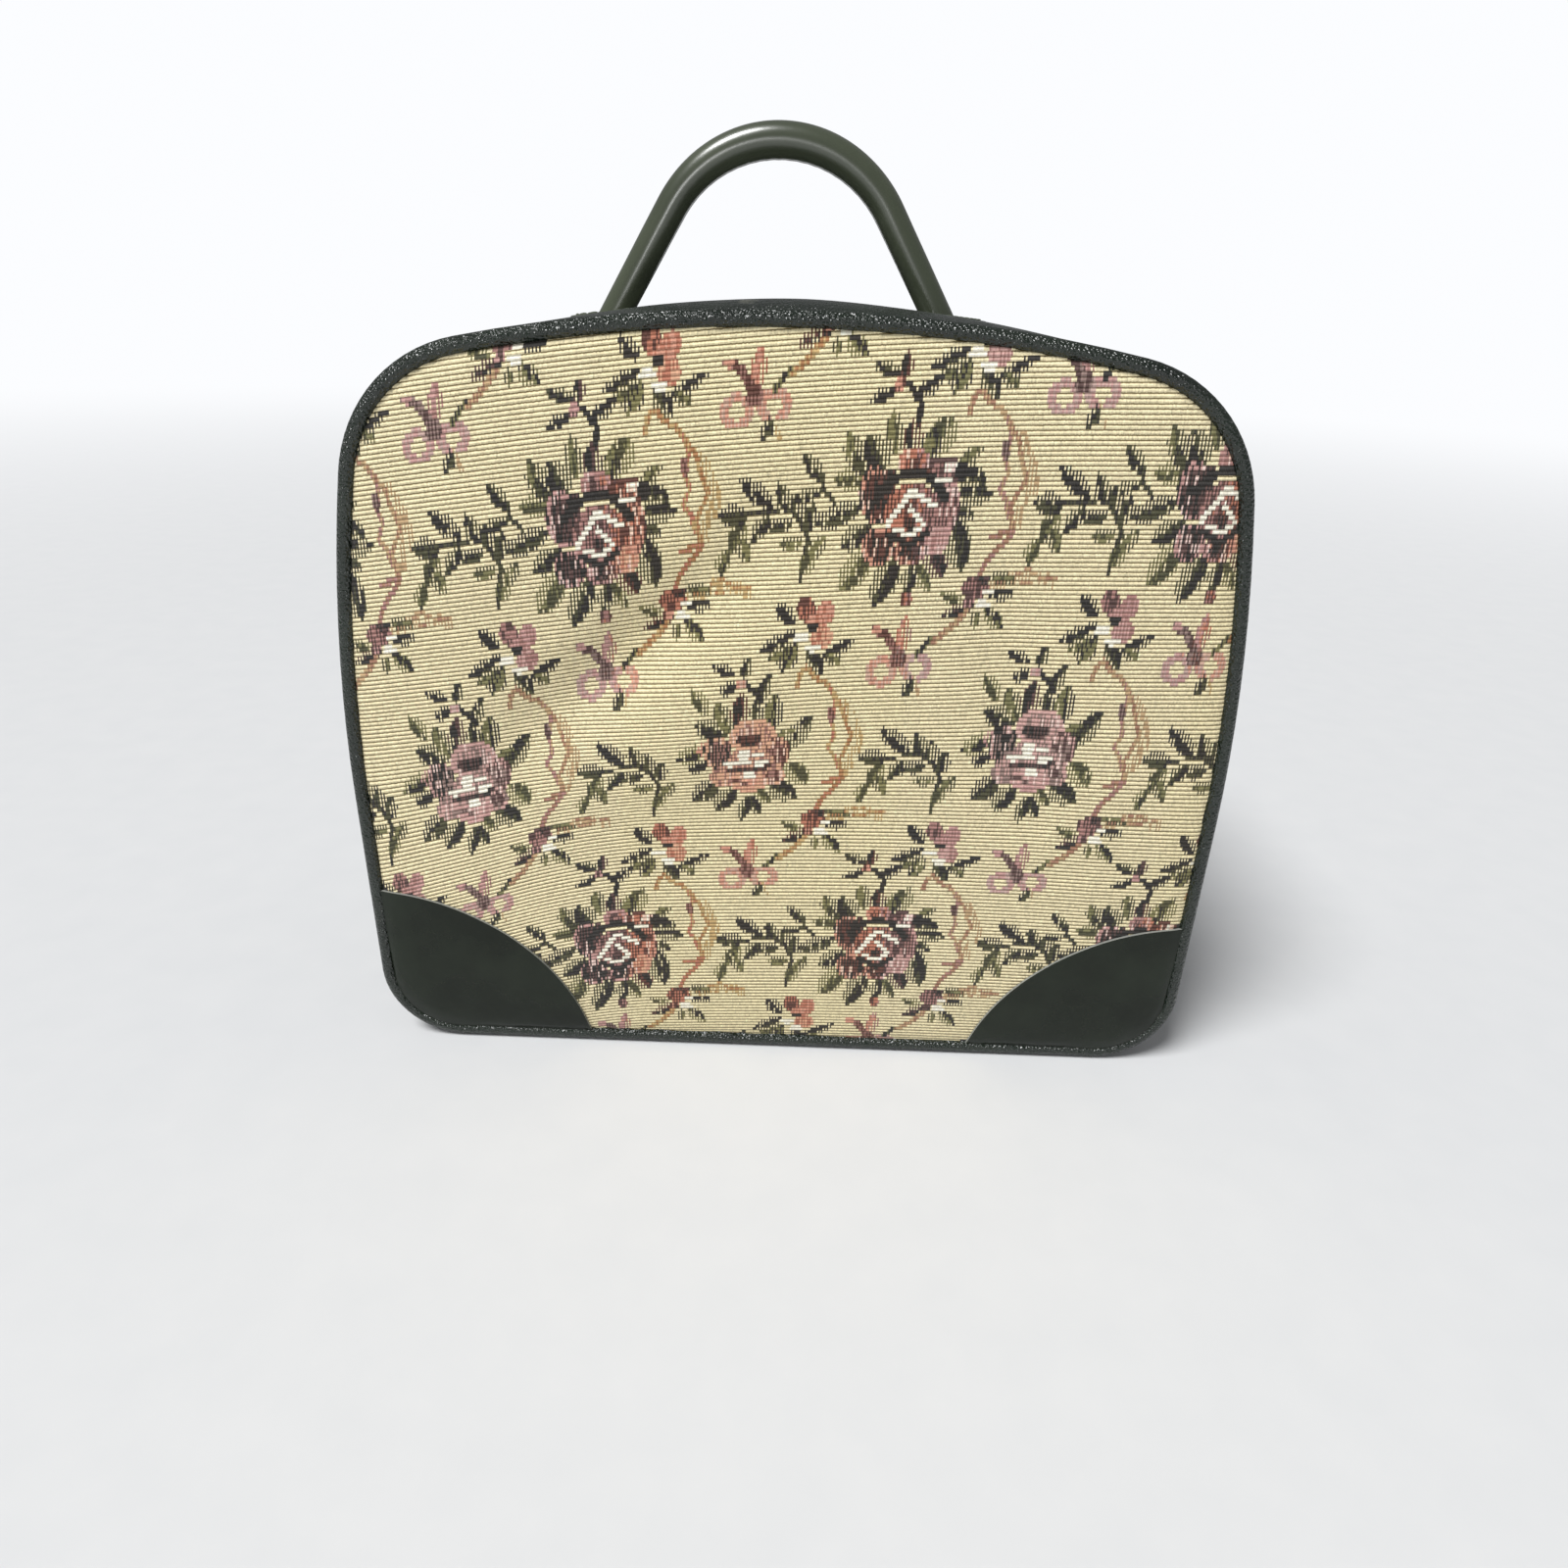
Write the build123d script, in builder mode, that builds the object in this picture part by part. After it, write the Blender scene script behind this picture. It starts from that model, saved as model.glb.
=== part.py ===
"""Soft-sided cosmetic train case with a zip-round front lid.

Millimetres. X runs to the right of someone facing the lid, Y to the back, Z up.
The origin lies on the floor, under the middle of the case.
"""

from build123d import *
import math
import os

# Outline of the case, taken over the round welts that edge the front and the back.
case_width = 250.0
case_height = 217.5
case_depth = 118.0
bottom_corner_radius = 24.0
hip_height = 85.0
side_bow_radius = 480.0
shoulder_radius = 41.5
top_bow_radius = 425.0

# Welts: vinyl-covered cord sewn into the front and back edges.
welt_diameter = 4.2
welt_floor_gap = 0.4

# Front and back panels, layer by layer from the outside.
panel_gap = 0.1
cloth_recess = 1.6
cloth_thickness = 1.2
board_thickness = 2.0
lining_thickness = 0.6
lining_gap = 0.3
patch_thickness = 0.9
patch_radius = 61.4
patch_centre_inset = 5.0
patch_centre_drop = 11.4

# Gusset: boot round the bottom, and two bands over the sides and the top.
gusset_thickness = 2.0
gusset_inset = 1.6
boot_height = 30.0
lid_band_depth = 35.0
lid_band_crown = 2.0
zipper_valley = 11.0
moving_gap = 0.4
welt_gap = 0.3

# Base board, laid flat in the boot.
base_board_thickness = 2.6
base_board_margin = 5.0
base_board_setback = 6.3

# Lining of both halves, held off the gusset by its seam allowance.
gusset_lining_gap = 0.7
lining_setback = 1.5

# Zipper between the two bands.
tape_thickness = 0.6
tape_width = 7.6
zipper_foot = 33.0
coil_reach = 2.4
coil_thickness = 1.8
coil_row_gap = 1.0
coil_foot = 47.0
stop_length = 2.4
stop_reach = 1.8
stop_gap = 0.6

# Slider and pull, parked at the right-hand foot of the zipper.
slider_height = 54.0
slider_length = 12.0
slider_width = 8.4
slider_plate = 1.0
slider_clearance = 0.3
slider_corner = 2.4
post_width = 0.5
post_length = 3.0
pull_pin_diameter = 1.4
pull_pin_height = 1.9
pull_pin_offset = 2.0
pull_pin_clearance = 0.15
pull_lug_width = 1.0
pull_eye_radius = 1.5
pull_eye_width = 3.6
pull_lug_gap = 0.2
pull_length = 21.0
pull_width = 7.0
pull_thickness = 1.4
pull_tip_radius = 3.2
pull_neck_length = 4.0

# Handle: rolled vinyl tube over a cord, sewn down under two oval tabs.
handle_depth = 66.0
handle_shift = -7.0
handle_rise = 41.9
handle_bow_radius = 36.0
handle_bow_angle = 59.0
handle_leg_length = 36.0
handle_diameter = 8.8
handle_core_diameter = 5.2
handle_foot_spread = 46.0
tab_length = 30.0
tab_width = 17.0
tab_thickness = 2.4
tab_edge_radius = 0.8

# Shares that set proportions.
pull_slot_width_share = 0.32
pull_slot_length_share = 0.3

# Sizes that follow from those above.
half_width = case_width / 2
front = -case_depth / 2
welt_radius = welt_diameter / 2
panel_inset = welt_diameter + panel_gap
gusset_inner = gusset_inset + gusset_thickness
tape_inner = gusset_inner + tape_thickness
lining_inset = gusset_inner + gusset_lining_gap
zipper_middle = front + lid_band_depth + zipper_valley / 2
rear_band_front = front + lid_band_depth + zipper_valley
cloth_back = front + cloth_recess + cloth_thickness
board_back = cloth_back + board_thickness
lining_front = board_back + lining_gap
coil_middle = gusset_inner + tape_thickness / 2
coil_outer = coil_middle - coil_thickness / 2
coil_inner = coil_middle + coil_thickness / 2
handle_top = case_height + handle_rise


def facing(y):
    """Upright plane across the case at a depth: X right, Z up, extruded towards the front."""
    return Plane.XZ.offset(-y)


def shoulder_ends(inset):
    """Where the right-hand shoulder arc starts and ends on the outline drawn in by an inset."""
    side_centre = Vector(half_width - side_bow_radius, hip_height)
    top_centre = Vector(0, case_height - top_bow_radius)
    side_reach = side_bow_radius - shoulder_radius
    top_reach = top_bow_radius - shoulder_radius
    across = top_centre - side_centre
    along = (side_reach**2 - top_reach**2 + across.length**2) / (2 * across.length)
    rise = math.sqrt(side_reach**2 - along**2)
    ahead = across.normalized()
    centre = side_centre + ahead * along + Vector(-ahead.Y, ahead.X) * rise
    start = side_centre + (centre - side_centre).normalized() * (side_bow_radius - inset)
    end = top_centre + (centre - top_centre).normalized() * (top_bow_radius - inset)
    return start, end


def side_and_top(inset, foot):
    """Right-hand edges from a foot height up the side and over the shoulder to the apex."""
    start, end = shoulder_ends(inset)
    side = Line((half_width - inset, foot), (half_width - inset, hip_height))
    bow = TangentArc(side @ 1, start, tangent=side % 1)
    shoulder = TangentArc(bow @ 1, end, tangent=bow % 1)
    TangentArc(shoulder @ 1, (0, case_height - inset), tangent=shoulder % 1)


def base_and_corner(inset):
    """Right-hand edges from the middle of the base round the bottom corner."""
    radius = bottom_corner_radius - inset
    low = welt_floor_gap + inset
    base = Line((0, low), (half_width - bottom_corner_radius, low))
    JernArc(base @ 1, base % 1, radius, 90)


def outline(inset):
    """Face bounded by the whole outline drawn in by an inset."""
    with BuildSketch() as face:
        with BuildLine():
            base_and_corner(inset)
            side_and_top(inset, welt_floor_gap + bottom_corner_radius)
            mirror(about=Plane.YZ)
        make_face()
    return face.sketch


def below(height):
    """Rectangle that covers the outline up to a height."""
    with BuildSketch() as face:
        with Locations((0, height)):
            Rectangle(2 * case_width, case_height, align=(Align.CENTER, Align.MAX))
    return face.sketch


def top_frame(x):
    """Plane lying on the gusset's top at a distance from the middle, with Z out of the case."""
    reach = top_bow_radius - gusset_inset
    lean = math.asin(x / reach)
    spot = Vector(x, front + handle_depth, case_height - top_bow_radius + reach * math.cos(lean))
    return Plane(spot, x_dir=(math.cos(lean), 0, -math.sin(lean)), z_dir=(math.sin(lean), 0, math.cos(lean)))


def upright(line, y):
    """Wire of a line drawn flat, stood up across the case at a depth."""
    return facing(y) * line.wire()


panel_face = outline(panel_inset)
gusset_outer_face = outline(gusset_inset)
gusset_inner_face = outline(gusset_inner)
tape_inner_face = outline(tape_inner)
coil_outer_face = outline(coil_outer)
coil_inner_face = outline(coil_inner)
lining_outer_face = outline(lining_inset)
lining_inner_face = outline(lining_inset + lining_thickness)
under_boot = below(boot_height)
under_lid_band = below(boot_height + moving_gap)
under_zipper = below(zipper_foot)
under_coil = below(coil_foot)
os.makedirs("parts", exist_ok=True)

# Front panel of the lid: woven cloth over a stiff board.
with BuildPart() as front_tapestry:
    with BuildSketch(facing(cloth_back)):
        add(panel_face)
    extrude(amount=cloth_thickness)
front_tapestry.part.label = "front_tapestry"

with BuildPart() as front_board:
    with BuildSketch(facing(board_back)):
        add(panel_face)
    extrude(amount=board_thickness)
front_board.part.label = "front_board"

# Round welt, whose straight run along the base is the line the lid turns on.
with BuildLine() as welt_run:
    base_and_corner(welt_radius)
    side_and_top(welt_radius, welt_floor_gap + bottom_corner_radius)
welt_path = upright(welt_run, front + welt_radius)
with BuildPart() as front_welt:
    with BuildSketch(Plane.YZ):
        with Locations((front + welt_radius, welt_floor_gap + welt_radius)):
            Circle(welt_radius)
    sweep(path=welt_path)
    mirror(about=Plane.YZ)
front_welt.part.label = "front_welt"

# Smooth corner patches, one each side, bounded by an arc about the bottom corner.
with BuildPart() as front_patch_right:
    with BuildSketch(facing(front + cloth_recess)):
        with Locations((half_width - patch_centre_inset, -patch_centre_drop)):
            Circle(patch_radius)
        add(panel_face, mode=Mode.INTERSECT)
    extrude(amount=patch_thickness)
front_patch_right.part.label = "front_patch_right"

with BuildPart() as front_patch_left:
    add(front_patch_right.part)
    mirror(about=Plane.YZ, mode=Mode.REPLACE)
front_patch_left.part.label = "front_patch_left"

# Padded gusset band of the lid, crowned across its depth.
with BuildLine() as lid_band_run:
    side_and_top(gusset_inset, boot_height + moving_gap)
lid_band_path = upright(lid_band_run, front + welt_diameter)
with BuildPart() as lid_band:
    with BuildSketch(Plane.XY.offset(boot_height + moving_gap)):
        with BuildLine():
            near = (half_width - gusset_inset, front + welt_diameter)
            far = (half_width - gusset_inset, front + lid_band_depth)
            crest = (half_width - gusset_inset + lid_band_crown, (near[1] + far[1]) / 2)
            ThreePointArc(near, crest, far)
            Polyline(far, (half_width - gusset_inner, far[1]), (half_width - gusset_inner, near[1]), near)
        make_face()
    sweep(path=lid_band_path)
    mirror(about=Plane.YZ)
lid_band.part.label = "lid_band"

# Lining of the lid: a tray with no floor.
with BuildPart() as lid_lining:
    with BuildSketch(facing(front + lid_band_depth - lining_setback)):
        add(lining_outer_face)
        add(lining_inner_face, mode=Mode.SUBTRACT)
        add(under_lid_band, mode=Mode.SUBTRACT)
    extrude(amount=lid_band_depth - lining_setback - (lining_front - front))
    with BuildSketch(facing(lining_front + lining_thickness)):
        add(lining_outer_face)
    extrude(amount=lining_thickness)
lid_lining.part.label = "lid_lining"

# Zipper half of the lid: tape sewn under the band, a nylon coil along its edge, end stops.
with BuildPart() as lid_zipper_tape:
    with BuildSketch(facing(zipper_middle - coil_row_gap / 2 - coil_reach)):
        add(gusset_inner_face)
        add(tape_inner_face, mode=Mode.SUBTRACT)
        add(under_zipper, mode=Mode.SUBTRACT)
    extrude(amount=tape_width)
lid_zipper_tape.part.label = "lid_zipper_tape"

with BuildPart() as lid_zipper_coil:
    with BuildSketch(facing(zipper_middle - coil_row_gap / 2)):
        add(coil_outer_face)
        add(coil_inner_face, mode=Mode.SUBTRACT)
        add(under_coil, mode=Mode.SUBTRACT)
    extrude(amount=coil_reach)
lid_zipper_coil.part.label = "lid_zipper_coil"

with BuildPart() as lid_zipper_stops:
    stop_x = half_width - coil_middle
    stop_y = zipper_middle - coil_row_gap / 2 - coil_reach
    stop_z = coil_foot - stop_gap - stop_length
    with Locations((stop_x, stop_y, stop_z), (-stop_x, stop_y, stop_z)):
        Box(coil_thickness, stop_reach, stop_length, align=(Align.CENTER, Align.MIN, Align.MIN))
lid_zipper_stops.part.label = "lid_zipper_stops"

# Boot: vinyl turned up round the whole bottom, flat underneath.
with BuildPart() as base_boot:
    with BuildSketch(facing(-front - welt_diameter)):
        boot_width = case_width - 2 * gusset_inset
        with Locations((0, 0)):
            RectangleRounded(boot_width, 2 * case_height, bottom_corner_radius, align=(Align.CENTER, Align.MIN))
        offset(amount=-gusset_thickness, mode=Mode.SUBTRACT)
        add(under_boot, mode=Mode.INTERSECT)
    extrude(amount=case_depth - 2 * welt_diameter - welt_gap)
base_boot.part.label = "base_boot"

with BuildPart() as base_board:
    board_span = case_width - 2 * (bottom_corner_radius + base_board_margin)
    with BuildSketch(Plane.XY.offset(gusset_thickness)):
        Rectangle(board_span, case_depth - 2 * base_board_setback)
    extrude(amount=base_board_thickness)
base_board.part.label = "base_board"

# Gusset band of the body, over the sides and the top behind the zipper.
with BuildPart() as rear_band:
    with BuildSketch(facing(-front - welt_diameter)):
        add(gusset_outer_face)
        add(gusset_inner_face, mode=Mode.SUBTRACT)
        add(under_boot, mode=Mode.SUBTRACT)
    extrude(amount=-front - welt_diameter - rear_band_front)
rear_band.part.label = "rear_band"

# Back panel: the same layers as the front, turned round.
with BuildPart() as back_tapestry:
    add(front_tapestry.part)
    mirror(about=Plane.XZ, mode=Mode.REPLACE)
back_tapestry.part.label = "back_tapestry"

with BuildPart() as back_board:
    add(front_board.part)
    mirror(about=Plane.XZ, mode=Mode.REPLACE)
back_board.part.label = "back_board"

with BuildPart() as back_welt:
    add(front_welt.part)
    mirror(about=Plane.XZ, mode=Mode.REPLACE)
back_welt.part.label = "back_welt"

with BuildPart() as back_patch_right:
    add(front_patch_right.part)
    mirror(about=Plane.XZ, mode=Mode.REPLACE)
back_patch_right.part.label = "back_patch_right"

with BuildPart() as back_patch_left:
    add(front_patch_left.part)
    mirror(about=Plane.XZ, mode=Mode.REPLACE)
back_patch_left.part.label = "back_patch_left"

# Lining of the body: a tray that also covers the back half of the base board.
with BuildPart() as body_lining:
    with BuildSketch(facing(-lining_front)):
        add(lining_outer_face)
        add(lining_inner_face, mode=Mode.SUBTRACT)
    extrude(amount=-lining_front - rear_band_front - lining_setback)
    with BuildSketch(facing(-lining_front)):
        add(lining_outer_face)
    extrude(amount=lining_thickness)
body_lining.part.label = "body_lining"

# Zipper half of the body.
with BuildPart() as body_zipper_tape:
    with BuildSketch(facing(zipper_middle + coil_row_gap / 2 + coil_reach)):
        add(gusset_inner_face)
        add(tape_inner_face, mode=Mode.SUBTRACT)
        add(under_zipper, mode=Mode.SUBTRACT)
    extrude(amount=-tape_width)
body_zipper_tape.part.label = "body_zipper_tape"

with BuildPart() as body_zipper_coil:
    with BuildSketch(facing(zipper_middle + coil_row_gap / 2)):
        add(coil_outer_face)
        add(coil_inner_face, mode=Mode.SUBTRACT)
        add(under_coil, mode=Mode.SUBTRACT)
    extrude(amount=-coil_reach)
body_zipper_coil.part.label = "body_zipper_coil"

with BuildPart() as body_zipper_stops:
    stop_y = zipper_middle + coil_row_gap / 2 + coil_reach
    with Locations((stop_x, stop_y, stop_z), (-stop_x, stop_y, stop_z)):
        Box(coil_thickness, stop_reach, stop_length, align=(Align.CENTER, Align.MAX, Align.MIN))
body_zipper_stops.part.label = "body_zipper_stops"

# Slider: two plates joined by a post that runs between the coils, and two lugs with a pin.
channel_half = coil_thickness / 2 + slider_clearance
slider_x = half_width - coil_middle
pin_x = slider_x + channel_half + slider_plate + pull_pin_height
pin_z = slider_height + pull_pin_offset
lug_span = pull_eye_width + 2 * pull_lug_gap
with BuildPart() as zipper_slider:
    with BuildSketch(Plane.YZ.offset(slider_x + channel_half)):
        with Locations((zipper_middle, slider_height)):
            RectangleRounded(slider_width, slider_length, slider_corner)
    extrude(amount=slider_plate)
    with BuildSketch(Plane.YZ.offset(slider_x - channel_half)):
        with Locations((zipper_middle, slider_height)):
            RectangleRounded(slider_width, slider_length, slider_corner)
    extrude(amount=-slider_plate)
    with Locations((slider_x, zipper_middle, slider_height - slider_length / 2)):
        Box(2 * channel_half, post_width, post_length, align=(Align.CENTER, Align.CENTER, Align.MIN))
    with BuildSketch(Plane.XZ.offset(-zipper_middle)):
        with Locations((pin_x, pin_z)):
            Circle(pull_pin_diameter)
        with Locations((pin_x - pull_pin_height, pin_z)):
            Rectangle(pull_pin_height, 2 * pull_pin_diameter, align=(Align.MIN, Align.CENTER))
    extrude(amount=lug_span / 2 + pull_lug_width, both=True)
    with Locations((pin_x - pull_pin_height, zipper_middle, pin_z)):
        gap_box = 2 * (pull_pin_height + pull_pin_diameter)
        Box(gap_box, lug_span, gap_box, align=(Align.MIN, Align.CENTER, Align.CENTER), mode=Mode.SUBTRACT)
    with BuildSketch(Plane.XZ.offset(-zipper_middle)):
        with Locations((pin_x, pin_z)):
            Circle(pull_pin_diameter / 2)
    extrude(amount=lug_span / 2 + pull_lug_width, both=True)
zipper_slider.part.label = "zipper_slider"

# Pull: flat tab with an eye on the slider's pin, hanging down.
with BuildPart() as zipper_pull:
    with BuildSketch(Plane.XZ.offset(-zipper_middle)):
        with Locations((pin_x, pin_z)):
            Circle(pull_eye_radius)
        with Locations((pin_x, pin_z)):
            Rectangle(pull_thickness, pull_neck_length, align=(Align.CENTER, Align.MAX))
        with Locations((pin_x, pin_z)):
            Circle(pull_pin_diameter / 2 + pull_pin_clearance, mode=Mode.SUBTRACT)
    extrude(amount=pull_eye_width / 2, both=True)
    with BuildSketch(Plane.YZ.offset(pin_x - pull_thickness / 2)):
        with Locations((zipper_middle, pin_z - pull_neck_length)):
            Rectangle(pull_width, pull_length - pull_neck_length, align=(Align.CENTER, Align.MAX))
        fillet_spots = vertices()
        fillet(fillet_spots, radius=pull_tip_radius)
        with Locations((zipper_middle, pin_z - pull_length / 2 - pull_neck_length)):
            slot_width = pull_width * pull_slot_width_share
            SlotOverall(pull_length * pull_slot_length_share, slot_width, rotation=90, mode=Mode.SUBTRACT)
    extrude(amount=pull_thickness)
zipper_pull.part.label = "zipper_pull"

# Handle: tube swept from foot to foot and cut where it meets the tabs.
bow_lean = math.radians(handle_bow_angle)
bow_x = handle_bow_radius * math.sin(bow_lean)
bow_z = handle_top - handle_bow_radius + handle_bow_radius * math.cos(bow_lean)
foot_x = bow_x + handle_leg_length * math.cos(bow_lean)
foot_z = bow_z - handle_leg_length * math.sin(bow_lean)
tab_frames = [top_frame(handle_shift - handle_foot_spread), top_frame(handle_shift + handle_foot_spread)]
tab_tops = [frame.offset(tab_thickness).location for frame in tab_frames]
with BuildLine() as handle_run:
    left_leg = Line((handle_shift - foot_x, foot_z), (handle_shift - bow_x, bow_z))
    handle_bow = TangentArc(left_leg @ 1, (handle_shift + bow_x, bow_z), tangent=left_leg % 1)
    Line(handle_bow @ 1, (handle_shift + foot_x, foot_z))
handle_wire = upright(handle_run, front + handle_depth)
handle_start = Plane(handle_wire @ 0, z_dir=handle_wire % 0)
with BuildPart() as handle_tube:
    with BuildSketch(handle_start):
        Circle(handle_diameter / 2)
        Circle(handle_core_diameter / 2, mode=Mode.SUBTRACT)
    sweep(path=handle_wire)
    with Locations(*tab_tops):
        Box(tab_length, tab_width, tab_length, align=(Align.CENTER, Align.CENTER, Align.MAX), mode=Mode.SUBTRACT)
handle_tube.part.label = "handle_tube"

with BuildPart() as handle_core:
    with BuildSketch(handle_start):
        Circle(handle_core_diameter / 2)
    sweep(path=handle_wire)
    with Locations(*tab_tops):
        Box(tab_length, tab_width, tab_length, align=(Align.CENTER, Align.CENTER, Align.MAX), mode=Mode.SUBTRACT)
handle_core.part.label = "handle_core"

with BuildPart() as handle_tab_left:
    with BuildSketch(tab_frames[0]):
        SlotOverall(tab_length, tab_width)
    extrude(amount=tab_thickness)
    fillet(edges().group_by(SortBy.LENGTH)[-1], radius=tab_edge_radius)
handle_tab_left.part.label = "handle_tab_left"

with BuildPart() as handle_tab_right:
    with BuildSketch(tab_frames[1]):
        SlotOverall(tab_length, tab_width)
    extrude(amount=tab_thickness)
    fillet(edges().group_by(SortBy.LENGTH)[-1], radius=tab_edge_radius)
handle_tab_right.part.label = "handle_tab_right"

for made in (
    front_tapestry, front_board, front_welt, front_patch_left, front_patch_right, lid_band, lid_lining,
    lid_zipper_tape, lid_zipper_coil, lid_zipper_stops, base_boot, base_board, rear_band, back_tapestry,
    back_board, back_welt, back_patch_left, back_patch_right, body_lining, body_zipper_tape,
    body_zipper_coil, body_zipper_stops, zipper_slider, zipper_pull, handle_tube, handle_core,
    handle_tab_left, handle_tab_right,
):
    export_step(made.part, f"parts/{made.part.label}.step")
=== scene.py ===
import bpy
import math
import numpy as np
from mathutils import Matrix, Vector


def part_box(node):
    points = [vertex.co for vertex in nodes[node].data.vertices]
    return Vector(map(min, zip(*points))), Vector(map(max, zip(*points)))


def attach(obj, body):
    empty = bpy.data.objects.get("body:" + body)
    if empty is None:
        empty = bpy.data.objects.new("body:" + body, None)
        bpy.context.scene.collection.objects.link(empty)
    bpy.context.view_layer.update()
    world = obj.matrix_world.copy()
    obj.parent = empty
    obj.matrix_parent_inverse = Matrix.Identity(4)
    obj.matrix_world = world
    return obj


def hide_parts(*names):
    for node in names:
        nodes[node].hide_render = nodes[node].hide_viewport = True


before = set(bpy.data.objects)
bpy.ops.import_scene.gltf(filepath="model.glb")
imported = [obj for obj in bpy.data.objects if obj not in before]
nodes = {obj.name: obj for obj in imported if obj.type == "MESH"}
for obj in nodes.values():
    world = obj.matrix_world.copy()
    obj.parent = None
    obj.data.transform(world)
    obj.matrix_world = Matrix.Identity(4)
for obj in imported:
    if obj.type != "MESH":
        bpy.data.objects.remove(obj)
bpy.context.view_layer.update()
bpy.ops.object.select_all(action="DESELECT")

# Room: a broad sheet of pale paper under the case, with a white surround behind it.
# A wide soft light falls from above on the left, and a small weak one from behind the camera.
bpy.context.scene.view_settings.view_transform = "Standard"
bpy.ops.mesh.primitive_plane_add(size=60.0)
sweep = bpy.context.object
sweep.name = "paper_sheet"


def feed(node, inputs):
    """Gives a node's inputs, by name or number, fixed values or other nodes' outputs."""
    for key, value in inputs.items():
        if isinstance(value, bpy.types.NodeSocket):
            node.id_data.links.new(value, node.inputs[key])
        else:
            node.inputs[key].default_value = value


def finish(name, colour, roughness, specular=0.5):
    """A new surface finish with its shader, ready for textures."""
    material = bpy.data.materials.new(name)
    material.use_nodes = True
    shader = material.node_tree.nodes["Principled BSDF"]
    feed(shader, {"Base Color": (*colour, 1), "Roughness": roughness, "Specular IOR Level": specular})
    return material, shader


def put(material, kind, inputs=None, **settings):
    """A texture or maths node in a finish, with its inputs and settings."""
    node = material.node_tree.nodes.new("ShaderNode" + kind)
    for key, value in settings.items():
        setattr(node, key, value)
    feed(node, inputs or {})
    return node


def noise(material, place, scale, detail):
    """Cloudy texture in a finish."""
    return put(material, "TexNoise", {"Vector": place, "Scale": scale, "Detail": detail}).outputs["Fac"]


def ramp(material, value, dark, pale, low, high):
    """Tone between a dark and a pale one, by a value between a low and a high one."""
    tone = put(material, "ValToRGB", {"Fac": value})
    for stop, position, colour in zip(tone.color_ramp.elements, (low, high), (dark, pale)):
        stop.position = position
        stop.color = (*colour, 1)
    return tone.outputs["Color"]


def remap(material, value, low, high, start, end, curve="LINEAR"):
    """A value moved from one range to another."""
    spans = {"Value": value, "From Min": low, "From Max": high, "To Min": start, "To Max": end}
    return put(material, "MapRange", spans, interpolation_type=curve).outputs["Result"]


def mottle(material, shader, scale, detail, dark, pale, low=0.0, high=1.0):
    """Noise that shifts a finish between a dark and a pale tone, with its outputs for further use."""
    place = put(material, "TexCoord").outputs["Object"]
    cloud = noise(material, place, scale, detail)
    tone = ramp(material, cloud, dark, pale, low, high)
    feed(shader, {"Base Color": tone})
    return place, cloud, tone


surround = (0.97, 0.98, 1.0, 1)
paper, shader = finish("pale_paper", (0.62, 0.63, 0.64), 0.9, 0.2)
place, _, _ = mottle(paper, shader, 60.0, 6.0, (0.60, 0.61, 0.62), (0.64, 0.645, 0.65))
reach = put(paper, "VectorMath", {0: place}, operation="LENGTH").outputs["Value"]
far = remap(paper, reach, 0.5, 2.6, 0.0, 1.0, "SMOOTHSTEP")
haze = put(paper, "Emission", {"Color": surround}).outputs["Emission"]
blend = put(paper, "MixShader", {"Fac": far, 1: shader.outputs["BSDF"], 2: haze}).outputs["Shader"]
feed(paper.node_tree.nodes["Material Output"], {"Surface": blend})
sweep.data.materials.append(paper)

world = bpy.data.worlds.new("studio")
bpy.context.scene.world = world
world.use_nodes = True
seen = put(world, "LightPath").outputs["Is Camera Ray"]
glow = remap(world, seen, 0.0, 1.0, 0.25, 1.0)
feed(world.node_tree.nodes["Background"], {"Color": surround, "Strength": glow})

bpy.ops.object.light_add(type="SUN", location=(-0.5, -0.5, 1.5))
lamp = bpy.context.object
lamp.name = "overhead_lamp"
lamp.data.energy = 3.6
lamp.data.angle = math.radians(24)
lamp.rotation_euler = Vector((-0.4, -0.42, 1.0)).to_track_quat("Z", "Y").to_euler()
bpy.ops.object.light_add(type="AREA", location=(-0.15, -0.95, 0.34))
lamp = bpy.context.object
lamp.name = "front_lamp"
lamp.data.size = 0.16
lamp.data.energy = 1.2
lamp.rotation_euler = Vector((-0.15, -0.9, 0.17)).to_track_quat("Z", "Y").to_euler()

# Camera: about 27 cm in front of the lid and level with its top, with a wide lens.
# It is tipped down by 25 degrees and rolled a little.
camera_place = (0.00172, -0.33003, 0.22051)
swing, tip, roll = math.radians(0.44), math.radians(65), math.radians(1.83)
bpy.ops.object.camera_add(location=camera_place)
camera = bpy.context.object
turn = Matrix.Rotation(swing, 4, "Z") @ Matrix.Rotation(tip, 4, "X")
camera.rotation_euler = (turn @ Matrix.Rotation(roll, 4, "Z")).to_euler()
camera.data.sensor_width = 36.0
camera.data.lens = 24.09
camera.data.clip_start = 0.01
bpy.context.scene.camera = camera

# Boards: pressed fibre sheets that stiffen the front, the back and the base.
# They are cut to the panels' outline and hidden between the cloth and the lining.
fibre_board, shader = finish("fibre_board", (0.24, 0.16, 0.09), 0.85, 0.2)
mottle(fibre_board, shader, 600.0, 6.0, (0.17, 0.11, 0.06), (0.31, 0.22, 0.13))


def dress(names, material):
    """Gives CAD nodes their finish."""
    for name in names:
        nodes[name].data.materials.clear()
        nodes[name].data.materials.append(material)


dress(("front_board", "back_board", "base_board"), fibre_board)

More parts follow.
